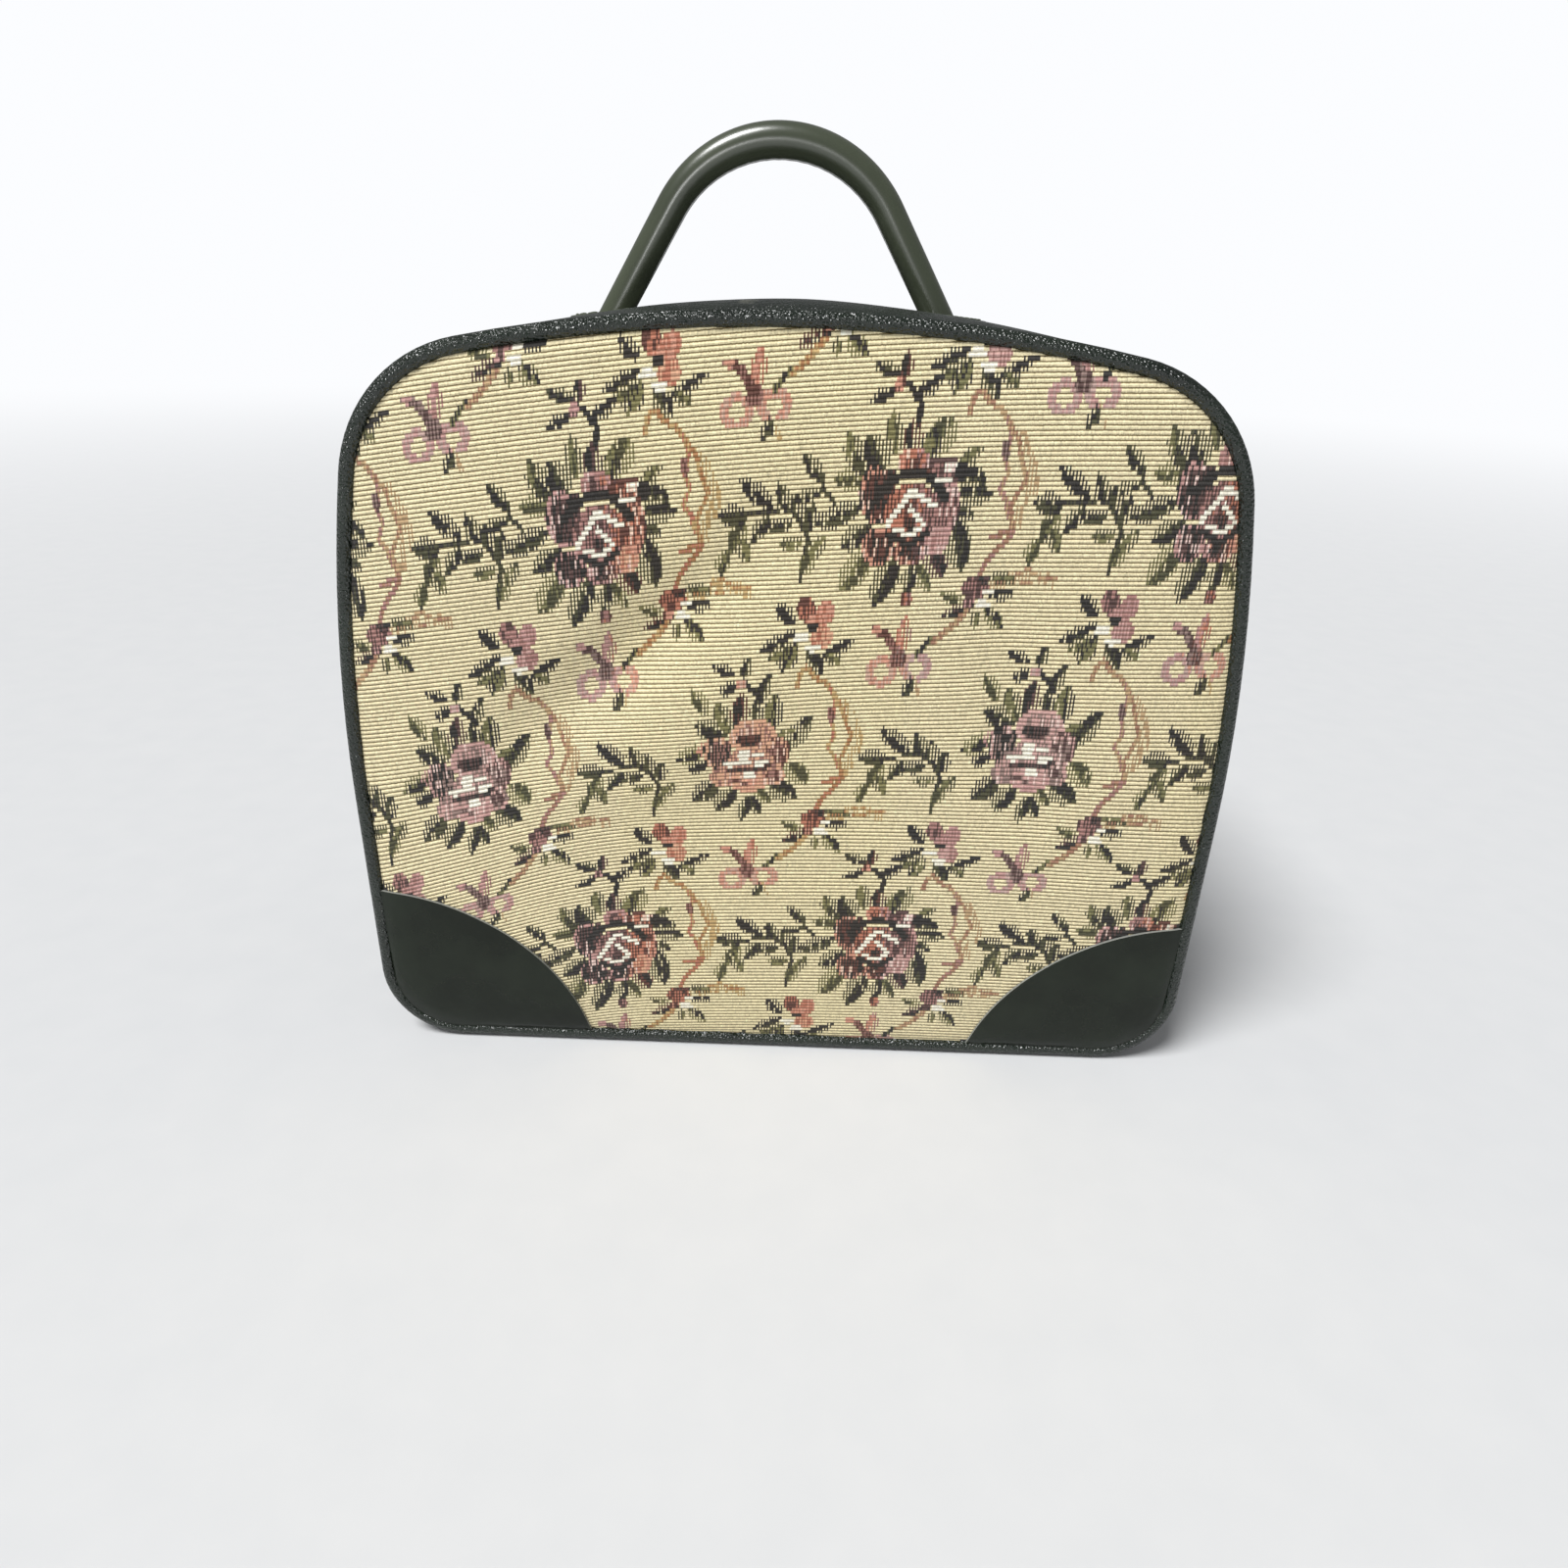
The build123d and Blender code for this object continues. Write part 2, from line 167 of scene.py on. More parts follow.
# Gusset: pebble-grained vinyl, dark green, in three runs: a boot turned up round the bottom,
# a padded band on the lid and a flat band over the body. All are sewn into the welts.
welt_low, welt_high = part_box("front_welt")
half_width, outline_low, outline_top = welt_high.x, welt_low.z, welt_high.z
corner_round, hip = 0.024, 0.085
side_bow, shoulder_round, top_bow = 0.480, 0.0415, 0.425
gusset_inset = 0.0016
gusset_thick = 0.002
gusset_step = 0.003
edge_round = 0.0006


def outline(inset, steps=160):
    """Right half of the outline from the middle of the base to the apex, drawn in by an inset."""
    side_middle = np.array([half_width - side_bow, hip])
    top_middle = np.array([0, outline_top - top_bow])
    reach, other = side_bow - shoulder_round, top_bow - shoulder_round
    span = top_middle - side_middle
    far = np.linalg.norm(span)
    along = (reach**2 - other**2 + far**2) / (2 * far)
    ahead = span / far
    rise = math.sqrt(reach**2 - along**2)
    shoulder = side_middle + ahead * along + np.array([-ahead[1], ahead[0]]) * rise
    low = math.atan2(*(shoulder - side_middle)[::-1])
    high = math.atan2(*(shoulder - top_middle)[::-1])
    corner = np.array([half_width - corner_round, outline_low + corner_round])
    turn = np.linspace(-math.pi / 2, 0, steps // 4)
    floor_x = np.linspace(0, corner[0], steps // 3)
    runs = [
        np.column_stack([floor_x, np.full(len(floor_x), outline_low + inset)]),
        corner + (corner_round - inset) * np.column_stack([np.cos(turn), np.sin(turn)]),
        np.column_stack([np.full(steps // 4, half_width - inset), np.linspace(corner[1], hip, steps // 4)]),
    ]
    for middle, radius, start, end in (
        (side_middle, side_bow, 0, low),
        (shoulder, shoulder_round, low, high),
        (top_middle, top_bow, high, math.pi / 2),
    ):
        turn = np.linspace(start, end, steps // 3)
        runs.append(middle + (radius - inset) * np.column_stack([np.cos(turn), np.sin(turn)]))
    points = np.vstack(runs)
    keep = np.r_[True, np.linalg.norm(np.diff(points, axis=0), axis=1) > 1e-7]
    return points[keep]


def spaced(points, gap):
    """Points at even steps along a line, with the outward normals there."""
    run = np.r_[0, np.cumsum(np.linalg.norm(np.diff(points, axis=0), axis=1))]
    at = np.linspace(0, run[-1], max(2, int(round(run[-1] / gap)) + 1))
    even = np.column_stack([np.interp(at, run, points[:, 0]), np.interp(at, run, points[:, 1])])
    ahead = np.gradient(even, axis=0)
    ahead /= np.linalg.norm(ahead, axis=1)[:, None]
    return even, np.column_stack([-ahead[:, 1], ahead[:, 0]])


def arch(inset, foot, gap):
    """The outline from the left foot over the top to the right foot, in even steps."""
    steps = 900
    right = outline(inset, steps)
    side = right[steps // 3:]
    start = (np.interp(foot, side[:, 1], side[:, 0]), foot)
    right = right[np.argmax(right[:, 1] > outline_low + inset + 1e-6):]
    right = np.vstack([start, right[right[:, 1] >= foot]])
    return spaced(np.vstack([right * (-1, 1), right[-2::-1]]), gap)


def surface(name, points):
    """A sheet of quads laid through an array of points, in rows."""
    rows, columns = points.shape[:2]
    bpy.ops.object.select_all(action="DESELECT")
    bpy.ops.mesh.primitive_grid_add(x_subdivisions=columns - 1, y_subdivisions=rows - 1, size=1)
    piece = bpy.context.object
    piece.name = name
    place = np.empty(len(piece.data.vertices) * 3)
    piece.data.vertices.foreach_get("co", place)
    place = place.reshape(-1, 3)
    column = np.rint((place[:, 0] + 0.5) * (columns - 1)).astype(int)
    row = np.rint((place[:, 1] + 0.5) * (rows - 1)).astype(int)
    piece.data.vertices.foreach_set("co", points[row, column].ravel())
    piece.data.update()
    return piece


def thicken(piece, thick, outward, bevel=0.0):
    """Turns a sheet's faces outwards, gives it its thickness inwards and smooths it."""
    if Vector(outward).dot(piece.data.polygons[len(piece.data.polygons) // 2].normal) < 0:
        piece.data.flip_normals()
    wall = piece.modifiers.new("wall", "SOLIDIFY")
    wall.thickness = thick
    wall.offset = -1.0
    wall.material_offset_rim = 1
    bpy.ops.object.modifier_apply(modifier="wall")
    if bevel:
        edge = piece.modifiers.new("edge", "BEVEL")
        edge.width = bevel
        edge.segments = 3
        edge.limit_method = "ANGLE"
        edge.angle_limit = math.radians(50)
        bpy.ops.object.modifier_apply(modifier="edge")
    bpy.ops.object.shade_smooth_by_angle(angle=math.radians(40))


def ripple(a, b):
    """Slow, uneven waviness between 0 and 1 of a sheet that is not quite flat."""
    wave = np.sin(61 * a + 1.3) + np.sin(113 * a + 47 * b + 0.4) + np.sin(29 * a - 83 * b + 2.1)
    return 0.5 + wave / 6


def hill(value, middle, width):
    """Smooth bump of height one."""
    return np.exp(-(((value - middle) / width) ** 2))


def relief(material, shader, height, strength, distance, under=None, invert=False):
    """Fine relief of a finish from a texture's height, over a coarser relief where there is one."""
    inputs = {"Height": height, "Strength": strength, "Distance": distance}
    if under:
        inputs["Normal"] = under
    bump = put(material, "Bump", inputs, invert=invert).outputs["Normal"]
    feed(shader, {"Normal": bump})
    return bump


def maths(material, operation, *terms):
    """Result of an operation on values or outputs in a finish."""
    return put(material, "Math", dict(enumerate(terms)), operation=operation).outputs["Value"]


pebble, shader = finish("pebbled_vinyl", (0.012, 0.019, 0.013), 0.3, 0.62)
place, _, clouded = mottle(pebble, shader, 38.0, 5.0, (0.004, 0.008, 0.005), (0.012, 0.019, 0.012), 0.3, 0.72)
grain = put(pebble, "TexVoronoi", {"Vector": place, "Scale": 1250.0, "Smoothness": 0.35}, feature="SMOOTH_F1")
creases = noise(pebble, place, 420.0, 4.0)
rolls = relief(pebble, shader, creases, 0.35, 0.0005)
relief(pebble, shader, grain.outputs["Distance"], 1.0, 0.0005, rolls, True)
scuff_place, scuff_ragged, scuff_colour = (-0.0135, -0.0455, 0.2195), 0.006, (0.14, 0.14, 0.11, 1)
scuff = put(pebble, "VectorMath", {0: place, 1: scuff_place}, operation="DISTANCE").outputs["Value"]
ragged = maths(pebble, "MULTIPLY_ADD", creases, scuff_ragged, scuff)
rubbed = remap(pebble, ragged, 0.0058, 0.0038, 0.0, 0.8)
bare = put(pebble, "Mix", {0: rubbed, 6: clouded, 7: scuff_colour}, data_type="RGBA").outputs[2]
feed(shader, {"Base Color": bare, "Roughness": remap(pebble, creases, 0.35, 0.65, 0.17, 0.32)})
crown_side, crown_top, crown_tight, crown_wave = 0.0021, 0.0019, 0.0010, 0.0004
crown_middle, crown_reach = -0.004, 0.045
rear_fall, boot_fall = 0.0006, 0.0005


def lid_crown(line, normals, share):
    """How far the lid's band stands out: most over the middle of the top, least round the shoulders."""
    shoulder = 2 * np.abs(normals[:, 0] * normals[:, 1])
    top = hill(line[:, 0], crown_middle, crown_reach) * (normals[:, 1] > 0.5)
    full = crown_side - crown_tight * shoulder + crown_top * top
    full -= crown_wave * ripple(line[:, 0] * 1.3, line[:, 1])
    return full[:, None] * (4 * share * (1 - share)) ** 0.75


def rear_sag(line, normals, share):
    """How far the body's band falls in between its seams."""
    sag = -rear_fall * ripple(line[:, [0]] + share * 0.05, line[:, [1]] + share * 0.11)
    return sag * (4 * share * (1 - share)) ** 0.6


def band(name, line, normals, y_near, y_far, rise, across=15, thick=gusset_thick, bevel=edge_round):
    """A strip along a line, from one depth to another, raised off its seams."""
    share = np.linspace(0, 1, across)[None, :]
    out = rise(line, normals, share) * np.ones((len(line), across))
    x = line[:, [0]] + normals[:, [0]] * out
    z = line[:, [1]] + normals[:, [1]] * out
    y = np.broadcast_to(y_near + (y_far - y_near) * share, x.shape)
    piece = surface(name, np.stack([x, y, z], axis=2))
    middle = len(line) // 2
    thicken(piece, thick, (normals[middle, 0], 0, normals[middle, 1]), bevel)
    return piece


def gusset(name, line, normals, low, high, rise, across, node, body):
    """One run of gusset in place of its CAD node."""
    piece = band(name, line, normals, low.y, high.y, rise, across)
    piece.data.materials.append(pebble)
    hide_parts(node)
    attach(piece, body)


lid_low, lid_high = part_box("lid_band")
rear_low, rear_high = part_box("rear_band")
boot_low, boot_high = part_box("base_boot")
lid_line, lid_normals = arch(gusset_inset, lid_low.z, gusset_step)
gusset("lid_gusset", lid_line, lid_normals, lid_low, lid_high, lid_crown, 15, "lid_band", "lid")
rear_line, rear_normals = arch(gusset_inset, rear_low.z, gusset_step)
gusset("rear_gusset", rear_line, rear_normals, rear_low, rear_high, rear_sag, 21, "rear_band", "body")

turn = np.linspace(0, -math.pi / 2, 24)
boot_middle = np.array([boot_high.x - corner_round, corner_round])
boot_curve = boot_middle + corner_round * np.column_stack([np.cos(turn), np.sin(turn)])
boot_right = np.vstack([[boot_high.x, boot_high.z], boot_curve])
boot_line, boot_normals = spaced(np.vstack([boot_right, boot_right[::-1] * (-1, 1)]), gusset_step)


def boot_sag(line, normals, share):
    """How far the boot's sides fall in; its floor stays flat."""
    sag = -boot_fall * ripple(line[:, [0]] + share * 0.09, line[:, [1]] * 3) * np.abs(normals[:, [0]])
    return sag * (4 * share * (1 - share)) ** 0.6


gusset("boot", boot_line, boot_normals, boot_low, boot_high, boot_sag, 29, "base_boot", "body")

# Lining: thin fawn cloth glued inside both halves, slack enough to ripple a little.
# Each half has a strip round the gusset and a panel over the board, and a tray lines the boot.
fawn, shader = finish("fawn_lining", (0.42, 0.36, 0.25), 0.85, 0.2)
_, threads, _ = mottle(fawn, shader, 1500.0, 2.0, (0.33, 0.28, 0.19), (0.50, 0.44, 0.31))
relief(fawn, shader, threads, 0.4, 0.0002)
lining_inset, lining_thick, lining_step, slack = 0.0043, 0.0006, 0.004, 0.0005


def half_reach(z, inset):
    """Half width of the outline at a height, drawn in by an inset."""
    points = outline(inset, 600)
    order = np.argsort(points[:, 1], kind="stable")
    reach = np.interp(z, points[order, 1], points[order, 0])
    return np.where((z < outline_low + inset) | (z > outline_top - inset), 0, reach)


def lining_slack(line, normals, share):
    """How far a lining strip stands off the gusset."""
    wave = ripple(line[:, [0]] * 2 + share * 0.1, line[:, [1]] * 2)
    return -slack * wave * (4 * share * (1 - share)) ** 0.5


def lining_panel(name, y, side):
    """A lining panel over a board, rippled a little, facing one way."""
    tall = outline_top - outline_low - 2 * lining_inset
    z = outline_low + lining_inset + tall * np.linspace(0, 1, 70)[:, None]
    reach = half_reach(np.clip(z, None, outline_top - lining_inset - 1e-6), lining_inset)
    x = reach * np.linspace(-1, 1, 60)[None, :]
    z = np.broadcast_to(z, x.shape)
    piece = surface(name, np.stack([x, y + side * slack * ripple(x * 1.5, z * 1.5), z], axis=2))
    thicken(piece, lining_thick, (0, side, 0))
    return piece


def lining_piece(piece, node, body):
    """Puts a piece of lining in place of its CAD node."""
    piece.data.materials.append(fawn)
    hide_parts(node)
    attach(piece, body)


for half, foot, band_name, board in (
    ("lid", lid_low.z, "lid_gusset", "front_board"),
    ("body", rear_low.z, "rear_gusset", "back_board"),
):
    node = half + "_lining"
    y_near, y_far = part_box(node)[0].y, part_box(node)[1].y
    line, normals = arch(lining_inset, foot, lining_step)
    strip = band(half + "_lining_strip", line, normals, y_near, y_far, lining_slack, 15, lining_thick, 0.0)
    side, y_panel = (1, y_near + lining_thick) if half == "lid" else (-1, y_far - lining_thick)
    panel = lining_panel(half + "_lining_panel", y_panel, side)
    lining_piece(strip, node, half)
    lining_piece(panel, node, half)

bowl = outline(lining_inset, 600)
bowl = bowl[bowl[:, 1] <= rear_low.z][::-1]
line, normals = spaced(np.vstack([bowl, bowl[::-1] * (-1, 1)]), gusset_step)
floor_near, floor_far = boot_low.y + gusset_thick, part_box("body_lining")[1].y
tray = band("body_lining_tray", line, normals, floor_near, floor_far, lining_slack, 29, lining_thick, 0.0)
lining_piece(tray, "body_lining", "body")

# Cloth: a ribbed jacquard, cream ground with roses, buds, bows and ribbons in coloured yarns.
# Each panel is stretched over its board and sewn into the welt. Its rows of ribs sag to the left,
# and a soft fold runs up across the left of it.
rib = 0.0012
stitch = 0.00044
seam_inset = 0.003
cloth_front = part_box("front_tapestry")[0].y
repeat, drop = 79.2, 67.2
swell_high, swell_edge, swell_floor = 0.0032, 0.03, -0.0009
fold_turn = 0.73
dents = (
    (-0.0044, (-0.046, 0.129), (0.050, 0.0105), fold_turn),
    (0.0014, (-0.082, 0.160), (0.034, 0.018), fold_turn),
    (0.0017, (-0.026, 0.112), (0.040, 0.014), fold_turn),
    (-0.0018, (0.060, 0.125), (0.010, 0.034), 0.25),
)


def hollow(x, z, spot, size, turn):
    """Soft falling-off of a dent about a spot."""
    dx, dz = x - spot[0], z - spot[1]
    c, s = math.cos(turn), math.sin(turn)
    return np.exp(-(((dx * c + dz * s) / size[0]) ** 2) - ((-dx * s + dz * c) / size[1]) ** 2)


def cloth_swell(x, z):
    """How far the cloth stands out of its seam plane: padded in the middle, with a fold and dents."""
    inset = 0.0042
    edge = np.minimum(half_reach(z, inset) - np.abs(x), np.minimum(z - outline_low, outline_top - z) - inset)
    swell = swell_high * np.clip(edge / swell_edge, 0, 1) ** 0.5
    for height, spot, size, turn in dents:
        swell = swell + height * hollow(x, z, spot, size, turn)
    return np.maximum(swell, swell_floor)


yarns = {
    "ground": ((238, 225, 183), (238, 225, 185)), "slate": ((64, 60, 56), (62, 60, 58)),
    "moss": ((132, 127, 88), (126, 123, 88)), "pine": ((88, 85, 64), (84, 83, 65)),
    "plum": ((104, 73, 65), (98, 78, 75)), "rust": ((184, 122, 100), (168, 127, 120)),
    "rose": ((206, 150, 128), (192, 150, 144)), "blush": ((232, 200, 179), (228, 201, 191)),
    "mauve": ((154, 115, 104), (145, 123, 116)), "lilac": ((206, 170, 150), (194, 165, 156)),
    "peach": ((216, 168, 138), (200, 161, 153)), "ochre": ((194, 165, 116), (190, 161, 124)),
    "brown": ((172, 126, 88), (163, 124, 102)), "ivory": ((246, 240, 220), (246, 240, 222)),
}
(ground, slate, moss, pine, plum, rust, rose, blush,
 mauve, lilac, peach, ochre, brown, ivory) = range(len(yarns))


def linear(rgb):
    """Linear colour of a yarn given in display values."""
    share = np.asarray(rgb, float) / 255
    return np.where(share < 0.04045, share / 12.92, ((share + 0.055) / 1.055) ** 2.4)


yarn_colours = np.array([[linear(tint) for tint in pair] for pair in yarns.values()])


class Loom:
    """Cells of the cloth, in millimetres of the pattern, and the yarn that shows in each."""

    def __init__(self, u, v, column, row):
        self.u, self.v, self.column = u, v, column
        self.yarn = np.zeros(len(u), int)
        stray = np.random.default_rng(5).random((97, 89))[column % 97, row // 2 % 89]
        self.even = (column % 2 == 0) ^ (stray > 0.74)
        self.thin = stray < 0.10

    def at(self, across, up):
        """Moves the drawing place to a motif, repeating it along its row."""
        self.x = (self.u - across + repeat / 2) % repeat - repeat / 2
        self.y = self.v - up

    def fill(self, inside, first, second=None):
        """Yarns for the cells inside: one, or two by turns from column to column."""
        if second is not None:
            first = np.where(self.even, first, second)
        self.yarn = np.where(inside, first, self.yarn)

    def fringe(self, inside, yarn):
        """A yarn in every other column only, so that the ground shows between."""
        self.yarn = np.where(inside & (self.column % 2 == 0), yarn, self.yarn)

    def turned(self, x, y, turn):
        """The cells' places along and across a direction from a spot."""
        c, s = math.cos(math.radians(turn)), math.sin(math.radians(turn))
        dx, dy = self.x - x, self.y - y
        return dx * c + dy * s, -dx * s + dy * c

    def petal(self, x, y, wide, tall, turn, first, second=None, rim=None):
        """Oval, with a rim in a darker yarn."""
        along, across = self.turned(x, y, turn)
        size = np.hypot(along / wide, across / tall)
        self.fill(size < 1, rim or first, second)
        if rim:
            self.fill(size < 1 - 1.3 / min(wide, tall), first, second)
            self.fill((size < 1) & self.thin, blush)

    def leaf(self, x, y, turn, long, wide, first, second):
        """Pointed leaf about a spot: one yarn on each side of its rib, thinned out along the edges."""
        along, across = self.turned(x, y, turn)
        share = along / (1.1 * long) + 0.5
        belly = 0.72 * wide * np.sin(np.pi * np.clip(share, 0, 1)) ** 0.7
        near = (share > 0) & (share < 1) & (np.abs(across) < belly)
        self.fringe(near, second)
        near &= (np.abs(across) < belly * 0.8 - 0.1) & ~self.thin
        self.fill(near & (across > -0.15 * wide), first, second)
        self.fill(near & (across > 0.1 * wide), first)

    def line(self, points, wide, first, second=None):
        """Line through points, of one width."""
        gap = np.full(len(self.x), 1e9)
        for (ax, ay), (bx, by) in zip(points[:-1], points[1:]):
            long = max((bx - ax) ** 2 + (by - ay) ** 2, 1e-9)
            share = np.clip(((self.x - ax) * (bx - ax) + (self.y - ay) * (by - ay)) / long, 0, 1)
            gap = np.minimum(gap, np.hypot(self.x - ax - share * (bx - ax), self.y - ay - share * (by - ay)))
        self.fill(gap < wide / 2, first, second)

    def ring(self, x, y, wide, tall, thick, first, second=None):
        """Oval loop of ribbon."""
        size = np.hypot((self.x - x) / wide, (self.y - y) / tall)
        self.fill((size < 1) & (size > 1 - thick / min(wide, tall)), first, second)


def wreath(loom, leaves):
    """Leaves of a motif, each in a dark and a light yarn."""
    for leaf in leaves:
        loom.leaf(*leaf)


def open_rose(loom):
    """Rose seen from above: petals round a square ivory heart, with leaves and a sprig above."""
    wreath(loom, (
        (-0.5, 14.7, 92, 8.5, 3.4, slate, plum), (-5.0, 16.2, 97, 9.5, 3.2, moss, pine),
        (6.2, 14.9, 62, 10.6, 5.0, pine, moss), (4.0, 12.9, 80, 7.4, 3.6, moss, slate),
        (14.0, 10.0, 44, 7.4, 2.6, moss, pine), (14.2, 5.2, -22, 8.5, 4.4, slate, pine),
        (16.0, 0.8, -6, 8.5, 3.6, slate, pine), (13.4, -3.6, -18, 6.4, 3.2, pine, slate),
        (12.8, -10.9, -76, 13.2, 5.2, slate, pine), (7.4, -15.5, -58, 8.5, 4.4, slate, plum),
        (4.0, -19.0, -54, 8.5, 3.4, pine, moss), (1.2, -19.4, -96, 7.4, 3.0, slate, pine),
        (-5.0, -19.7, -113, 13.2, 4.8, slate, pine), (-13.0, -16.8, -120, 11.7, 5.0, pine, moss),
        (-13.4, -8.6, -144, 8.5, 4.4, slate, pine), (-18.0, -3.2, 200, 11.7, 3.8, pine, slate),
        (-14.0, 5.9, 186, 10.1, 4.6, pine, moss), (-15.0, 12.5, 106, 8.5, 3.4, moss, pine),
        (-9.5, 11.4, 116, 9.0, 5.2, slate, pine), (-12.0, 8.5, 140, 8.5, 4.0, pine, slate),
        (-24.5, 8.5, 128, 8.5, 2.8, slate, pine), (-26.0, 1.9, 196, 6.9, 2.6, slate, pine),
        (2.6, 26.3, 36, 8.0, 2.6, slate, slate), (-8.4, 25.0, 206, 6.9, 2.4, slate, slate),
        (-7.8, 30.8, 154, 6.9, 2.6, slate, pine), (-3.2, 31.4, 86, 5.8, 2.4, slate, plum),
    ))
    loom.line([(0.4, 18.4), (1.0, 22.8), (-2.6, 27.6)], 1.5, slate)
    loom.line([(-19.0, 0.1), (-22.0, 3.4), (-22.6, 7.4)], 1.1, slate, pine)
    loom.petal(-4.6, 27.2, 1.5, 1.6, 0, rose, plum)
    loom.petal(0.8, -24.7, 1.6, 2.0, 0, rust, plum)
    for x, y, wide, tall, turn, first, second, rim in (
        (0.0, 9.2, 3.9, 3.4, 0, plum, rust, rose), (-8.4, 1.2, 4.6, 7.4, 12, plum, slate, rose),
        (7.6, 7.0, 4.8, 3.4, -10, rust, plum, plum), (8.6, -2.3, 3.8, 7.4, 0, rust, plum, rose),
        (-7.4, -11.3, 4.3, 4.7, 15, plum, slate, rose),
        (6.8, -10.2, 3.6, 3.6, 0, rust, peach, rose), (0.8, -12.8, 4.4, 3.3, 0, slate, plum, rose),
    ):
        loom.petal(x, y, wide, tall, turn, first, second, rim)
    loom.petal(-6.4, 2.6, 2.2, 5.4, -14, slate, plum)
    loom.petal(0.4, -3.2, 7.0, 7.2, 0, rust, plum)
    loom.line([(-8.4, 1.2), (-4.4, 5.4), (0.0, 6.5), (4.6, 5.4), (8.4, 0.1)], 2.4, slate, slate)
    loom.petal(9.2, 7.6, 1.5, 1.6, 0, ivory, blush)
    loom.petal(7.8, 4.5, 2.2, 1.0, 0, ivory)
    loom.petal(12.2, 6.7, 1.8, 2.4, 0, slate)
    loom.line([(-5.4, -5.8), (0.0, 2.1), (6.2, -1.8)], 1.5, ivory)
    loom.line([(0.0, -2.1), (3.8, -6.2), (0.4, -8.7), (-3.6, -6.9)], 1.3, ivory)
    loom.petal(0.2, -6.0, 1.5, 1.5, 0, slate, plum)
    loom.line([(-4.6, -8.4), (0.6, -11.3), (4.8, -8.0)], 1.7, slate, slate)


def cup_rose(loom):
    """Rose seen from the side: ruffled petals round a row of ivory ones, with leaves and a sprig above."""
    wreath(loom, (
        (-13.5, 17.4, 118, 8.5, 3.0, pine, moss), (-10.5, 9.3, 152, 9.5, 4.4, slate, pine),
        (-7.0, 12.3, 112, 10.1, 3.8, moss, pine), (-2.6, 13.9, 84, 10.1, 3.8, slate, plum),
        (2.2, 13.0, 100, 6.4, 3.0, pine, slate), (6.4, 12.8, 84, 10.6, 4.4, moss, slate),
        (3.6, 20.0, 64, 9.0, 2.8, slate, pine), (-7.0, 25.8, 154, 6.4, 2.4, slate, slate),
        (-1.0, 26.4, 74, 5.8, 2.4, slate, pine), (-6.0, 20.9, 206, 5.8, 2.4, slate, slate),
        (13.4, 6.4, 54, 12.2, 4.2, slate, pine), (9.6, 5.7, 36, 6.4, 3.0, moss, pine),
        (13.4, -6.1, -50, 9.0, 4.6, pine, moss), (9.6, -12.3, -34, 9.0, 5.0, slate, pine),
        (4.0, -14.1, -50, 6.4, 3.0, pine, moss), (1.6, -16.9, -60, 6.9, 3.0, slate, pine),
        (-1.0, -18.5, -102, 8.0, 2.8, slate, pine), (-6.4, -14.7, -125, 9.0, 4.2, slate, pine),
        (-12.0, -11.6, -134, 9.5, 5.0, pine, slate), (-14.0, -2.4, 208, 6.4, 3.2, slate, slate),
        (-16.0, 2.0, 204, 9.0, 4.0, slate, moss), (-11.4, 3.5, 196, 6.4, 3.6, pine, rose),
    ))
    loom.line([(3.0, 17.0), (0.8, 20.0), (-2.0, 22.9)], 1.4, slate)
    loom.petal(-2.4, 22.2, 1.5, 1.4, 0, rose, lilac)
    for x, y, wide, tall, turn, first, second in (
        (1.0, 6.4, 6.6, 5.4, 0, mauve, peach), (-8.8, 1.6, 3.8, 5.8, 8, mauve, slate),
        (7.6, 0.5, 3.8, 5.2, -8, mauve, plum), (-6.8, -6.4, 4.4, 3.8, 20, peach, mauve),
        (6.0, -6.8, 4.4, 4.0, -20, plum, mauve), (0.0, -9.0, 5.6, 3.6, 0, peach, rose),
    ):
        loom.petal(x, y, wide, tall, turn, first, second, peach)
    loom.petal(0.2, -2.2, 7.0, 5.0, 0, peach, mauve)
    loom.petal(0.0, 5.3, 3.6, 2.0, 0, slate, plum)
    loom.line([(-6.2, 5.3), (-5.6, 2.4), (-7.0, -2.0)], 1.6, slate, mauve)
    for x, y, wide, tall in ((-5.2, -2.3, 2.2, 1.1), (-1.6, -1.9, 2.2, 1.3), (3.4, -2.6, 2.2, 1.2),
                             (0.2, -6.7, 2.0, 1.2), (-1.4, 0.9, 2.0, 1.1), (2.6, 0.2, 1.8, 1.0)):
        loom.petal(x, y, wide, tall, 0, ivory, ivory)
    loom.line([(-5.8, -4.2), (0.0, -4.4), (3.6, -5.0), (5.6, -3.1)], 1.4, plum, slate)
    loom.line([(-4.6, -8.3), (-0.6, -9.4)], 1.3, plum, mauve)


